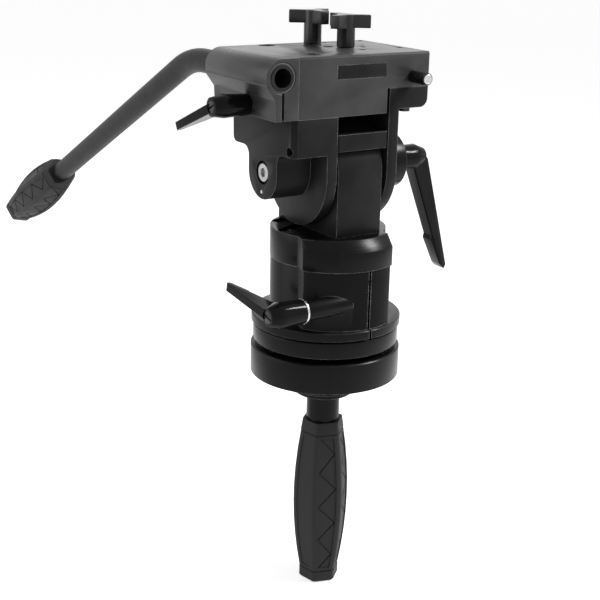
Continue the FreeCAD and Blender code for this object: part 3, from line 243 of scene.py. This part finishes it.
@dataclass(frozen=True)
class Anodised:
    """Black anodised aluminium with tool lines, faint clouds and a pale painted highlight on its edges,
    broken into patches.
    """

    name: str
    grain: Grain
    dark: tuple[float, float, float]
    light: tuple[float, float, float]
    edge_highlight: tuple[float, float, float]
    roughness: tuple[float, float] = (0.34, 0.50)
    gloss: float = 0.3
    edge: float = 0.0006
    line_depth: float = 0.00002
    line_strength: float = 0.35
    line_detail: float = 3.0
    cloud_size: float = 35.0
    cloud_detail: float = 4.0
    patch_size: float = 120.0
    patch_detail: float = 5.0
    edge_highlight_patches: tuple[float, float] = (0.15, 0.9)

    def material(self) -> bpy.types.Material:
        """Build the material.

        Returns:
            The finished material.
        """
        shader = Shader(self.name)
        lines = shader.noise(GRAIN_SCALE[self.grain], 1.0, self.line_detail)
        clouds = shader.noise(EVEN, self.cloud_size, self.cloud_detail)
        colour = shader.tinted(clouds, self.dark, self.light)
        # Painted highlight: a pale colour mixed in on convex and concave edges, broken into patches by
        # noise.
        edge_highlight_mix = shader.node("ShaderNodeMix")
        edge_highlight_mix.data_type = "RGBA"
        patches = shader.ranged(shader.noise(EVEN, self.patch_size, self.patch_detail), *self.edge_highlight_patches)
        amount = shader.node("ShaderNodeMath")
        amount.operation = "MULTIPLY"
        shader.link(shader.edge_mask(self.edge), amount.inputs[0])
        shader.link(patches, amount.inputs[1])
        shader.link(amount.outputs["Value"], edge_highlight_mix.inputs["Factor"])
        shader.link(colour, edge_highlight_mix.inputs["A"])
        edge_highlight_mix.inputs["B"].default_value = (*self.edge_highlight, 1.0)
        shader.link(edge_highlight_mix.outputs["Result"], shader.surface.inputs["Base Color"])
        shader.link(shader.ranged(lines, *self.roughness), shader.surface.inputs["Roughness"])
        shader.surface.inputs["Specular IOR Level"].default_value = self.gloss
        shader.bump(lines, self.line_strength, self.line_depth)
        return shader.material


@dataclass(frozen=True)
class Metal:
    """Bare metal with fine lines and a little smudging."""

    name: str
    dark: tuple[float, float, float]
    light: tuple[float, float, float]
    roughness: tuple[float, float] = (0.18, 0.34)
    line_depth: float = 0.00002
    line_strength: float = 0.25
    line_detail: float = 3.0
    smudge_size: float = 160.0
    smudge_detail: float = 4.0

    def material(self) -> bpy.types.Material:
        """Build the material.

        Returns:
            The finished material.
        """
        shader = Shader(self.name)
        lines = shader.noise(GRAIN_SCALE[Grain.TURNED_Z], 1.0, self.line_detail)
        smudge = shader.noise(EVEN, self.smudge_size, self.smudge_detail)
        shader.link(shader.tinted(smudge, self.dark, self.light), shader.surface.inputs["Base Color"])
        shader.link(shader.ranged(lines, *self.roughness), shader.surface.inputs["Roughness"])
        shader.surface.inputs["Metallic"].default_value = 1.0
        shader.bump(lines, self.line_strength, self.line_depth)
        return shader.material


@dataclass(frozen=True)
class Moulding:
    """Moulded plastic or rubber with a fine skin."""

    name: str
    dark: tuple[float, float, float]
    light: tuple[float, float, float]
    roughness: tuple[float, float]
    skin_size: float = 900.0
    skin_depth: float = 0.00003
    gloss: float = 0.5
    skin_detail: float = 5.0
    skin_strength: float = 0.5
    cloud_size: float = 45.0
    cloud_detail: float = 3.0

    def material(self) -> bpy.types.Material:
        """Build the material.

        Returns:
            The finished material.
        """
        shader = Shader(self.name)
        skin = shader.noise(EVEN, self.skin_size, self.skin_detail)
        clouds = shader.noise(EVEN, self.cloud_size, self.cloud_detail)
        shader.link(shader.tinted(clouds, self.dark, self.light), shader.surface.inputs["Base Color"])
        shader.link(shader.ranged(clouds, *self.roughness), shader.surface.inputs["Roughness"])
        shader.surface.inputs["Specular IOR Level"].default_value = self.gloss
        shader.bump(skin, self.skin_strength, self.skin_depth)
        return shader.material


@dataclass
class Workshop:
    """Mesh work on copies of the frame's nodes and on new pieces. Angles are in degrees."""

    frame: dict
    weld: float = 0.000002
    flat_angle: float = 0.6
    broken_angle: float = 32.0
    broken_steps: int = 2
    broken_shade: float = 30.0
    moulded_angle: float = 24.0
    moulded_steps: int = 3
    moulded_shade: float = 34.0

    def quiet(self) -> None:
        """Leave edit mode and deselect everything."""
        if bpy.context.object and bpy.context.object.mode != "OBJECT":
            bpy.ops.object.mode_set(mode="OBJECT")
        bpy.ops.object.select_all(action="DESELECT")

    def pick(self, piece: bpy.types.Object) -> None:
        """Make one piece the only selected and active one.

        Args:
            piece: The mesh object.
        """
        self.quiet()
        piece.select_set(True)
        bpy.context.view_layer.objects.active = piece

    def apply(self, piece: bpy.types.Object, kind: str, **values: object) -> None:
        """Add a modifier, set it and apply it.

        Args:
            piece: The mesh object.
            kind: Modifier type.
            values: Modifier settings.
        """
        self.pick(piece)
        modifier = piece.modifiers.new(kind.lower(), kind)
        for key, value in values.items():
            setattr(modifier, key, value)
        bpy.ops.object.modifier_apply(modifier=modifier.name)

    def copy_of(self, node: str, name: str) -> bpy.types.Object:
        """Copy a frame node with its triangles merged into clean faces.

        Args:
            node: The frame node.
            name: Name of the new piece.

        Returns:
            The merged copy.
        """
        source = self.frame["nodes"][node]
        mesh = source.data.copy()
        piece = bpy.data.objects.new(name, mesh)
        bpy.context.scene.collection.objects.link(piece)
        for attribute in ("custom_normal", "sharp_edge", "sharp_face"):
            if attribute in mesh.attributes:
                mesh.attributes.remove(mesh.attributes[attribute])
        self.pick(piece)
        bpy.ops.object.mode_set(mode="EDIT")
        bpy.ops.mesh.select_all(action="SELECT")
        bpy.ops.mesh.remove_doubles(threshold=self.weld)
        bpy.ops.mesh.dissolve_limited(angle_limit=math.radians(self.flat_angle))
        bpy.ops.object.mode_set(mode="OBJECT")
        return piece

    def machined(self, node: str, edge: float) -> bpy.types.Object:
        """A copy of a node with every sharp edge broken by a small bevel.

        Args:
            node: The frame node.
            edge: Bevel width in metres.

        Returns:
            The finished piece, already riding in the node's place.
        """
        piece = self.copy_of(node, node + "_finished")
        self.apply(piece, "BEVEL", width=edge, segments=self.broken_steps, limit_method="ANGLE",
                   angle_limit=math.radians(self.broken_angle), use_clamp_overlap=True,
                   harden_normals=False)
        self.smooth(piece, self.broken_shade)
        self.take_place(piece, node)
        return piece

    def moulded(self, node: str, edge: float, axis: tuple[float, float], core_r: float) -> bpy.types.Object:
        """A copy of a node whose sharp edges are rounded, apart from those near an axis along X.

        Args:
            node: The frame node.
            edge: Rounding width in metres.
            axis: Y and Z of the axis.
            core_r: Edges nearer to the axis than this stay sharp.

        Returns:
            The finished piece, already riding in the node's place.
        """
        piece = self.copy_of(node, node + "_moulded")
        mesh = piece.data
        sharp = self.sharp_edges(mesh)
        far = [math.hypot(v.co.y - axis[0], v.co.z - axis[1]) > core_r for v in mesh.vertices]
        weights = mesh.attributes.new("bevel_weight_edge", "FLOAT", "EDGE")
        for item in mesh.edges:
            outside = all(far[corner] for corner in item.vertices)
            weights.data[item.index].value = float(outside and item.index in sharp)
        self.apply(piece, "BEVEL", width=edge, segments=self.moulded_steps, limit_method="WEIGHT",
                   use_clamp_overlap=True)
        self.smooth(piece, self.moulded_shade)
        self.take_place(piece, node)
        return piece

    def sharp_edges(self, mesh: bpy.types.Mesh) -> set[int]:
        """Find the edges between two faces that meet at more than the moulded angle.

        Args:
            mesh: The mesh.

        Returns:
            The edges' indices.
        """
        sides: dict[tuple[int, int], list[Vector]] = {}
        for face in mesh.polygons:
            for key in face.edge_keys:
                sides.setdefault(key, []).append(face.normal)
        limit = math.cos(math.radians(self.moulded_angle))
        found = set()
        for item in mesh.edges:
            normals = sides[item.key]
            if len(normals) == 2 and normals[0].dot(normals[1]) < limit:
                found.add(item.index)
        return found

    def take_place(self, piece: bpy.types.Object, node: str) -> None:
        """Put a piece in a frame node's place, on the node's body."""
        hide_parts(node)
        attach(piece, self.frame["nodes"][node]["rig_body"])

    def choose(self, piece: bpy.types.Object, kind: str, wanted: set[int]) -> None:
        """Go to edit mode with exactly the given elements selected.

        Args:
            piece: The mesh object, active.
            kind: VERT, EDGE or FACE.
            wanted: Indices of the elements.
        """
        bpy.ops.object.mode_set(mode="EDIT")
        bpy.ops.mesh.select_mode(type=kind)
        bpy.ops.mesh.select_all(action="DESELECT")
        bpy.ops.object.mode_set(mode="OBJECT")
        mesh = piece.data
        elements = {"VERT": mesh.vertices, "EDGE": mesh.edges, "FACE": mesh.polygons}[kind]
        for index in wanted:
            elements[index].select = True
        bpy.ops.object.mode_set(mode="EDIT")

    def smooth(self, piece: bpy.types.Object, angle: float) -> None:
        """Shade a piece smooth up to an edge angle in degrees."""
        self.pick(piece)
        bpy.ops.object.shade_smooth_by_angle(angle=math.radians(angle))


def dress(piece: bpy.types.Object, material: bpy.types.Material) -> None:
    """Give a piece one material in all its slots.

    Args:
        piece: The mesh object.
        material: The material.
    """
    if not piece.data.materials:
        piece.data.materials.append(material)
    for index in range(len(piece.data.materials)):
        piece.data.materials[index] = material


@dataclass
class Lamp:
    """A soft square lamp: where it hangs, its side in metres and its power in watts."""

    name: str
    at: tuple[float, float, float]
    side: float
    power: float


@dataclass
class Studio:
    """Floor, soft lights and the camera."""

    camera_at: tuple[float, float, float] = (-0.6132, -0.8995, 0.4183)
    azimuth: float = -32.99
    elevation: float = 17.85
    roll: float = 1.2
    lens: float = 72.0
    sensor_width: float = 36.0
    near_clip: float = 0.01
    floor_side: float = 60.0
    floor_gap: float = 0.0005
    floor_colour: tuple[float, float, float, float] = (0.8, 0.8, 0.8, 1.0)
    floor_lift: float = 0.62
    floor_roughness: float = 0.9
    aim: tuple[float, float, float] = (0.0, 0.0, 0.15)
    surround: float = 0.38
    lamps: tuple[Lamp, ...] = (
        Lamp("key_box", (1.04, -0.72, 1.25), 0.4, 32.0),
        Lamp("left_box", (-1.9, 0.75, 0.75), 1.5, 16.0),
        Lamp("back_box", (1.3, 2.1, 0.85), 1.9, 6.0),
    )

    def camera(self) -> None:
        """Place the camera at the photograph's angle."""
        a, e, r = (math.radians(v) for v in (self.azimuth, self.elevation, self.roll))
        right = Vector((math.cos(a), math.sin(a), 0.0))
        back = Vector((math.sin(a) * math.cos(e), -math.cos(a) * math.cos(e), math.sin(e)))
        up = back.cross(right)
        turned_right = right * math.cos(r) + up * math.sin(r)
        turned_up = up * math.cos(r) - right * math.sin(r)
        rotation = Matrix((turned_right, turned_up, back)).transposed().to_4x4()
        data = bpy.data.cameras.new("camera")
        data.lens = self.lens
        data.sensor_width = self.sensor_width
        data.clip_start = self.near_clip
        camera = bpy.data.objects.new("camera", data)
        camera.matrix_world = Matrix.Translation(self.camera_at) @ rotation
        bpy.context.scene.collection.objects.link(camera)
        bpy.context.scene.camera = camera

    def shows_white(self, tree: bpy.types.NodeTree) -> bpy.types.NodeSocket:
        """One for camera, glossy and transmission rays, and zero for the light that falls on the head.

        Args:
            tree: The node tree that uses it.

        Returns:
            The value socket.
        """
        path = tree.nodes.new("ShaderNodeLightPath")
        shown = path.outputs["Is Camera Ray"]
        for kind in ("Is Glossy Ray", "Is Transmission Ray"):
            either = tree.nodes.new("ShaderNodeMath")
            either.operation = "MAXIMUM"
            tree.links.new(shown, either.inputs[0])
            tree.links.new(path.outputs[kind], either.inputs[1])
            shown = either.outputs["Value"]
        return shown

    def floor_finish(self) -> bpy.types.Material:
        """A pale floor that shows as white, with the head's soft shadow on it.

        Returns:
            The material.
        """
        shader = Shader("pale_floor")
        shader.surface.inputs["Base Color"].default_value = self.floor_colour
        shader.surface.inputs["Roughness"].default_value = self.floor_roughness
        shows = self.shows_white(shader.tree)
        glow = shader.node("ShaderNodeEmission", Color=WHITE, Strength=self.floor_lift)
        both = shader.node("ShaderNodeAddShader")
        mix = shader.node("ShaderNodeMixShader")
        shader.link(shader.surface.outputs["BSDF"], both.inputs[0])
        shader.link(glow.outputs["Emission"], both.inputs[1])
        shader.link(shows, mix.inputs["Fac"])
        shader.link(shader.surface.outputs["BSDF"], mix.inputs[1])
        shader.link(both.outputs["Shader"], mix.inputs[2])
        shader.link(mix.outputs["Shader"], shader.output.inputs["Surface"])
        return shader.material

    def floor(self) -> None:
        """Lay the pale floor just under the head's lowest point."""
        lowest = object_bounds()[0][2]
        bpy.ops.object.select_all(action="DESELECT")
        below = (0.0, 0.0, lowest - self.floor_gap)
        bpy.ops.mesh.primitive_plane_add(size=self.floor_side, location=below)
        floor = bpy.context.object
        floor.name = "floor"
        dress(floor, self.floor_finish())
        floor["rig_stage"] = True

    def hang(self, lamp: Lamp) -> None:
        """Hang a soft square lamp that faces the head.

        Args:
            lamp: The lamp's place, side and power.
        """
        data = bpy.data.lights.new(lamp.name, "AREA")
        data.size = lamp.side
        data.energy = lamp.power
        piece = bpy.data.objects.new(lamp.name, data)
        piece.location = lamp.at
        towards = Vector(self.aim) - Vector(lamp.at)
        piece.rotation_euler = towards.to_track_quat("-Z", "Y").to_euler()
        bpy.context.scene.collection.objects.link(piece)

    def world(self) -> None:
        """Set the soft surround, white where it is seen or mirrored."""
        world = bpy.data.worlds.new("surround")
        world.use_nodes = True
        tree = world.node_tree
        tree.nodes.clear()
        output = tree.nodes.new("ShaderNodeOutputWorld")
        mix = tree.nodes.new("ShaderNodeMixShader")
        tree.links.new(self.shows_white(tree), mix.inputs["Fac"])
        for slot, strength in enumerate((self.surround, 1.0), start=1):
            ground = tree.nodes.new("ShaderNodeBackground")
            ground.inputs["Color"].default_value = WHITE
            ground.inputs["Strength"].default_value = strength
            tree.links.new(ground.outputs["Background"], mix.inputs[slot])
        tree.links.new(mix.outputs["Shader"], output.inputs["Surface"])
        bpy.context.scene.world = world

    def build(self) -> None:
        """Set up everything around the head."""
        self.camera()
        self.floor()
        self.world()
        for lamp in self.lamps:
            self.hang(lamp)


@dataclass
class Finishes:
    """The head's finishes."""

    frame: dict

    def build(self) -> dict[str, bpy.types.Material]:
        """Make every finish.

        Returns:
            Materials by the record's slot names, and the block's, knobs' and screws' own ones.
        """
        recipes = {
            # Each anodised finish's pale edge colour is a painted highlight on its edges.
            "black_anodised": Anodised(
                "brushed_black", Grain.ALONG_X, dark=(0.007, 0.007, 0.007), light=(0.014, 0.014, 0.0145),
                edge_highlight=(0.4, 0.4, 0.41), gloss=0.1, edge=0.0009),
            # The turned pieces' base is darker than the other black anodising. This is partly the turned
            # finish and partly painted shade, for the shade under the block and the dark surroundings these
            # pieces mirror.
            "black_anodised_turned": Anodised(
                "turned_black_shaded", Grain.TURNED_Z, dark=(0.002, 0.002, 0.002), light=(0.004, 0.004, 0.0041),
                edge_highlight=(0.5, 0.5, 0.51), roughness=(0.24, 0.32), gloss=0.11, edge=0.0009),
            "block_black": Anodised(
                "block_black", Grain.ALONG_X, dark=(0.018, 0.018, 0.0185), light=(0.036, 0.036, 0.037),
                edge_highlight=(0.3, 0.3, 0.31), roughness=(0.3, 0.46), gloss=0.34),
            "bar_paint": Anodised(
                "bar_satin", Grain.NONE, dark=(0.012, 0.012, 0.0125), light=(0.02, 0.02, 0.0205),
                edge_highlight=(0.16, 0.16, 0.165), roughness=(0.4, 0.5), gloss=0.14),
            "steel": Metal("bright_steel", dark=(0.48, 0.48, 0.49), light=(0.66, 0.66, 0.67)),
            "screw_steel": Metal(
                "screw_steel", dark=(0.3, 0.3, 0.31), light=(0.45, 0.45, 0.46), roughness=(0.3, 0.42)),
            "black_steel": Metal(
                "black_steel", dark=(0.03, 0.03, 0.03), light=(0.06, 0.06, 0.06), roughness=(0.3, 0.5)),
            "bearing_bronze": Metal("bearing_bronze", dark=(0.45, 0.3, 0.14), light=(0.62, 0.44, 0.22)),
            "knob_black": Moulding(
                "knob_black", dark=(0.012, 0.012, 0.012), light=(0.022, 0.022, 0.022),
                roughness=(0.24, 0.34), skin_size=500.0, skin_depth=0.00002, gloss=0.3),
            "lever_plastic": Moulding(
                "lever_gloss", dark=(0.004, 0.004, 0.004), light=(0.008, 0.008, 0.008),
                roughness=(0.08, 0.13), skin_size=260.0, skin_depth=0.00001, gloss=0.08),
            "grip_rubber": Moulding(
                "grip_rubber", dark=(0.012, 0.012, 0.012), light=(0.024, 0.024, 0.024),
                roughness=(0.5, 0.7), skin_size=1400.0, skin_depth=0.00008, gloss=0.2),
            "sleeve_plastic": Moulding(
                "sleeve_plastic", dark=(0.06, 0.06, 0.06), light=(0.1, 0.1, 0.1), roughness=(0.4, 0.55)),
            "friction_lining": Moulding(
                "friction_lining", dark=(0.2, 0.12, 0.06), light=(0.35, 0.22, 0.12), roughness=(0.7, 0.9)),
            "white_mark": Moulding(
                "white_mark", dark=(0.7, 0.7, 0.7), light=(0.85, 0.85, 0.85), roughness=(0.4, 0.5)),
        }
        return {name: recipe.material() for name, recipe in recipes.items()}

    def dress_nodes(self, materials: dict[str, bpy.types.Material]) -> None:
        """Dress every frame node by its record slot.

        Args:
            materials: Materials by slot name.
        """
        for entry in self.frame["record"]["subparts"]:
            dress(self.frame["nodes"][entry["node"]], materials[entry["material_slot"]])


@dataclass(frozen=True)
class BrokenEdge:
    """A turned or milled node, the width of its broken edges and a finish other than its slot's, if any."""

    node: str
    width: float
    finish: str = ""


@dataclass
class MachinedPieces:
    """The turned and milled pieces with their broken edges."""

    frame: dict
    materials: dict[str, bpy.types.Material]
    pieces: tuple[BrokenEdge, ...] = (
        BrokenEdge("top_block", 0.0005, "block_black"),
        BrokenEdge("bar_clamp", 0.0004, "block_black"),
        BrokenEdge("left_cradle", 0.0004),
        BrokenEdge("right_cheek", 0.0004),
        BrokenEdge("tower", 0.0004),
        BrokenEdge("tie_bars", 0.0003),
        BrokenEdge("turret_cap", 0.0004),
        BrokenEdge("clamp_body", 0.0003),
        BrokenEdge("base_disc", 0.0004),
        BrokenEdge("right_drum", 0.0003),
        BrokenEdge("levelling_bowl", 0.0004),
        BrokenEdge("rear_lobe_knob", 0.0009, "knob_black"),
        BrokenEdge("front_lobe_knob", 0.0009, "knob_black"),
        BrokenEdge("axle_screw", 0.0003, "screw_steel"),
        BrokenEdge("tilt_lever_screw", 0.0002, "black_steel"),
        BrokenEdge("pan_lever_screw", 0.0002, "black_steel"),
        BrokenEdge("clamp_lever_screw", 0.0002, "black_steel"),
        BrokenEdge("pan_lock_washer", 0.0003),
        BrokenEdge("bar_sleeve", 0.0004),
        BrokenEdge("cap_screws", 0.0002),
        BrokenEdge("front_plate", 0.0002),
    )

    def build(self) -> None:
        """Finish each piece and dress it."""
        slots = {entry["node"]: entry["material_slot"] for entry in self.frame["record"]["subparts"]}
        shop = Workshop(self.frame)
        for entry in self.pieces:
            piece = shop.machined(entry.node, entry.width)
            slot = slots[entry.node]
            dress(piece, self.materials[entry.finish or slot])
            LOG.info("machined piece %s, %d faces", piece.name, len(piece.data.polygons))


@dataclass(frozen=True)
class LeverShape:
    """A lever's node, the rounding of its arm, its axis' Y and Z, and the radius of its plain core."""

    node: str
    rounding: float
    axis: tuple[float, float]
    core_r: float


@dataclass
class Levers:
    """The three moulded locking levers with rounded arms and hubs."""

    frame: dict
    material: bpy.types.Material
    shapes: tuple[LeverShape, ...] = (
        LeverShape("tilt_lever_handle", 0.0014, (0.0, 0.1985), 0.0079),
        LeverShape("pan_lever_handle", 0.0013, (-0.056, 0.0835), 0.0079),
        LeverShape("clamp_lever_handle", 0.0013, (-0.005, 0.261), 0.0062),
    )

    def build(self) -> None:
        """Round each lever and dress it."""
        shop = Workshop(self.frame)
        for shape in self.shapes:
            piece = shop.moulded(shape.node, shape.rounding, shape.axis, shape.core_r)
            dress(piece, self.material)
            LOG.info("lever %s, %d faces", piece.name, len(piece.data.polygons))


@dataclass
class RubberGrip:
    """A six-sided moulded grip: bowed facets, recessed panels with zigzag grooves, a collar at each end."""

    frame: dict
    node: str
    material: bpy.types.Material
    length: float
    mouth_r: float
    end_r: float
    mid_r: float
    tail_r: float
    turn: float
    pitch: float
    mouth_at: tuple[float, float, float]
    bores: tuple[tuple[float, float], ...]
    bare_facets: tuple[int, ...] = ()
    sides: int = 6
    cells: int = 8
    collar: float = 0.013
    groove_w: float = 0.0018
    groove_depth: float = 0.0009
    groove_slope: float = 0.0003
    tail_round: float = 0.0016
    corner_round: float = 0.0022
    frame_w: float = 0.0026
    panel_wall: float = 0.0004
    panel_depth: float = 0.0008
    zigzag_w: float = 0.0007
    zigzag_wall: float = 0.0002
    zigzag_depth: float = 0.0010
    tiny: float = 0.00001
    facing_cosine: float = 0.95
    corner_steps: int = 3
    bore_sides: int = 64
    shade_angle: float = 28.0

    def barrel_radius(self, share: float) -> float:
        """Corner radius along the bowed barrel.

        Args:
            share: Place along the barrel, 0 at the mouth's collar and 1 at the tail's.

        Returns:
            The radius in metres.
        """
        near = (1.0 - share) * (1.0 - 2.0 * share)
        middle = 4.0 * share * (1.0 - share)
        far = share * (2.0 * share - 1.0)
        return self.end_r * near + self.mid_r * middle + self.tail_r * far

    def stations(self) -> list[tuple[float, float]]:
        """Depth below the mouth and corner radius of every ring of the grip.

        Returns:
            The rings from the mouth to the tail.
        """
        top, bottom = self.collar, self.length - self.collar
        rings = [(0.0, self.mouth_r), (top - self.groove_w, self.end_r)]
        rings += [(top - self.groove_w + self.groove_slope, self.end_r - self.groove_depth),
                  (top - self.groove_slope, self.end_r - self.groove_depth)]
        for cell in range(self.cells + 1):
            share = cell / self.cells
            rings.append((top + (bottom - top) * share, self.barrel_radius(share)))
        rings += [(bottom + self.groove_slope, self.tail_r - self.groove_depth),
                  (bottom + self.groove_w - self.groove_slope, self.tail_r - self.groove_depth),
                  (bottom + self.groove_w, self.tail_r),
                  (self.length - self.tail_round, self.tail_r),
                  (self.length, self.tail_r - self.tail_round)]
        return rings

    def rings_drawn(self) -> bpy.types.Object:
        """Draw the six-sided outline out of the mouth ring by ring.

        Returns:
            The closed plain grip, its mouth at zero height and its tail below.
        """
        rings = self.stations()
        shop = Workshop(self.frame)
        shop.quiet()
        bpy.ops.mesh.primitive_circle_add(vertices=self.sides, radius=rings[0][1], fill_type="NGON")
        piece = bpy.context.object
        piece.name = self.node + "_moulded"
        bpy.ops.object.mode_set(mode="EDIT")
        bpy.ops.mesh.select_all(action="SELECT")
        for (depth, radius), (next_depth, next_radius) in zip(rings, rings[1:]):
            drop = (0.0, 0.0, depth - next_depth)
            bpy.ops.mesh.extrude_region_move(TRANSFORM_OT_translate={"value": drop})
            share = next_radius / radius
            bpy.ops.transform.resize(value=(share, share, 1.0), center_override=(0.0, 0.0, -next_depth))
        bpy.ops.mesh.select_all(action="SELECT")
        bpy.ops.mesh.normals_make_consistent(inside=False)
        bpy.ops.object.mode_set(mode="OBJECT")
        return piece

    def facet_faces(self, piece: bpy.types.Object, facet: int) -> set[int]:
        """Find the barrel's wide faces on one facet.

        Args:
            piece: The grip.
            facet: Number of the facet, counted from the local X axis.

        Returns:
            The faces' indices.
        """
        aim = 2.0 * math.pi * facet / self.sides
        outward = Vector((math.cos(aim), math.sin(aim), 0.0))
        across = Vector((-math.sin(aim), math.cos(aim), 0.0))
        top, bottom = -self.collar, self.collar - self.length
        return {p.index for p in piece.data.polygons
                if bottom < p.center.z < top and p.normal.dot(outward) > self.facing_cosine
                and abs(p.center.dot(across)) < self.corner_round}

    def round_corners(self, piece: bpy.types.Object) -> None:
        """Round the long corners between the facets."""
        vertices = piece.data.vertices
        long_edges = {edge.index for edge in piece.data.edges
                      if abs(vertices[edge.vertices[0]].co.z - vertices[edge.vertices[1]].co.z) > self.tiny}
        Workshop(self.frame).choose(piece, "EDGE", long_edges)
        bpy.ops.mesh.bevel(offset=self.corner_round, segments=self.corner_steps, affect="EDGES",
                           clamp_overlap=True)
        bpy.ops.object.mode_set(mode="OBJECT")

    def sink_panel(self, piece: bpy.types.Object, facet: int) -> list[tuple[int, int]]:
        """Sink a panel into one facet and pick the corners that its zigzag joins.

        Args:
            piece: The grip.
            facet: Number of the facet.

        Returns:
            Pairs of vertex indices, one for each cell of the panel.
        """
        Workshop(self.frame).choose(piece, "FACE", self.facet_faces(piece, facet))
        bpy.ops.mesh.inset(thickness=self.frame_w, depth=0.0)
        bpy.ops.mesh.inset(thickness=self.panel_wall, depth=-self.panel_depth)
        bpy.ops.object.mode_set(mode="OBJECT")
        aim = 2.0 * math.pi * facet / self.sides
        across = Vector((-math.sin(aim), math.cos(aim), 0.0))
        cells = sorted((p for p in piece.data.polygons if p.select), key=lambda p: -p.center.z)
        pairs = []
        for number, cell in enumerate(cells):
            sign = 1.0 if number % 2 else -1.0
            corners = list(cell.vertices)
            upper = sorted(corners, key=lambda i: -piece.data.vertices[i].co.z)[:2]
            lower = [i for i in corners if i not in upper]
            first = max(upper, key=lambda i: sign * piece.data.vertices[i].co.dot(across))
            last = min(lower, key=lambda i: sign * piece.data.vertices[i].co.dot(across))
            pairs.append((first, last))
        return pairs

    def cut_zigzag(self, piece: bpy.types.Object, pairs: list[tuple[int, int]]) -> None:
        """Join the chosen corners and sink a narrow groove along each line.

        Args:
            piece: The grip.
            pairs: Vertex indices, one pair for each line.
        """
        shop = Workshop(self.frame)
        for pair in pairs:
            shop.choose(piece, "VERT", set(pair))
            bpy.ops.mesh.vert_connect()
        bpy.ops.object.mode_set(mode="OBJECT")
        wanted = {frozenset(pair) for pair in pairs}
        shop.choose(piece, "EDGE", {e.index for e in piece.data.edges if frozenset(e.vertices) in wanted})
        bpy.ops.mesh.bevel(offset=self.zigzag_w, segments=1, affect="EDGES", clamp_overlap=True)
        bpy.ops.mesh.select_mode(type="FACE")
        bpy.ops.mesh.inset(thickness=self.zigzag_wall, depth=-self.zigzag_depth, use_even_offset=False)
        bpy.ops.object.mode_set(mode="OBJECT")

    def bore_mouth(self, piece: bpy.types.Object) -> None:
        """Open the mouth for what the grip holds."""
        shop = Workshop(self.frame)
        for radius, depth in self.bores:
            shop.quiet()
            bpy.ops.mesh.primitive_cylinder_add(vertices=self.bore_sides, radius=radius, depth=2.0 * depth)
            cutter = bpy.context.object
            shop.apply(piece, "BOOLEAN", operation="DIFFERENCE", object=cutter, solver="EXACT")
            bpy.data.objects.remove(cutter)

    def build(self) -> None:
        """Mould the grip and put it in its node's place."""
        piece = self.rings_drawn()
        self.round_corners(piece)
        pairs = []
        for facet in range(self.sides):
            found = self.sink_panel(piece, facet)
            if facet not in self.bare_facets:
                pairs += found
        self.cut_zigzag(piece, pairs)
        self.bore_mouth(piece)
        shop = Workshop(self.frame)
        shop.smooth(piece, self.shade_angle)
        piece.rotation_euler = (0.0, 0.0, math.radians(self.turn))
        bpy.ops.object.transform_apply(location=True, rotation=True, scale=True)
        piece.rotation_euler = (math.radians(self.pitch), 0.0, 0.0)
        piece.location = self.mouth_at
        bpy.ops.object.transform_apply(location=True, rotation=True, scale=True)
        dress(piece, self.material)
        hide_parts(self.node)
        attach(piece, self.frame["nodes"][self.node]["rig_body"])
        LOG.info("grip %s, %d faces", piece.name, len(piece.data.polygons))


def rubber_grips(frame: dict, material: bpy.types.Material) -> list[RubberGrip]:
    """The two grips of the head.

    Args:
        frame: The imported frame.
        material: Their rubber.

    Returns:
        The tie-down handle's grip and the steering bar's grip.
    """
    tie_down = RubberGrip(frame, "tie_down_grip", material, length=0.174, mouth_r=0.0206, end_r=0.0224,
                          mid_r=0.0284, tail_r=0.0208, turn=12.0, pitch=0.0, mouth_at=(0.0, 0.0, -0.052),
                          bores=((0.0161, 0.010), (0.0121, 0.068)), bare_facets=(3,))
    bar = RubberGrip(frame, "pan_bar_grip", material, length=0.173, mouth_r=0.0175, end_r=0.0210,
                     mid_r=0.0263, tail_r=0.0195, turn=17.8, pitch=63.23,
                     mouth_at=(-0.0837, 0.44759, 0.11742), bores=((0.0112, 0.166),))
    return [tie_down, bar]


def main() -> None:
    """Build the head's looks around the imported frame."""
    logging.basicConfig(level=logging.INFO)
    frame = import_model()
    bpy.context.scene.view_settings.view_transform = "Standard"
    finishes = Finishes(frame)
    materials = finishes.build()
    finishes.dress_nodes(materials)
    MachinedPieces(frame, materials).build()
    Levers(frame, materials["lever_plastic"]).build()
    for grip in rubber_grips(frame, materials["grip_rubber"]):
        grip.build()
    Studio().build()


if __name__ == "__main__":
    main()
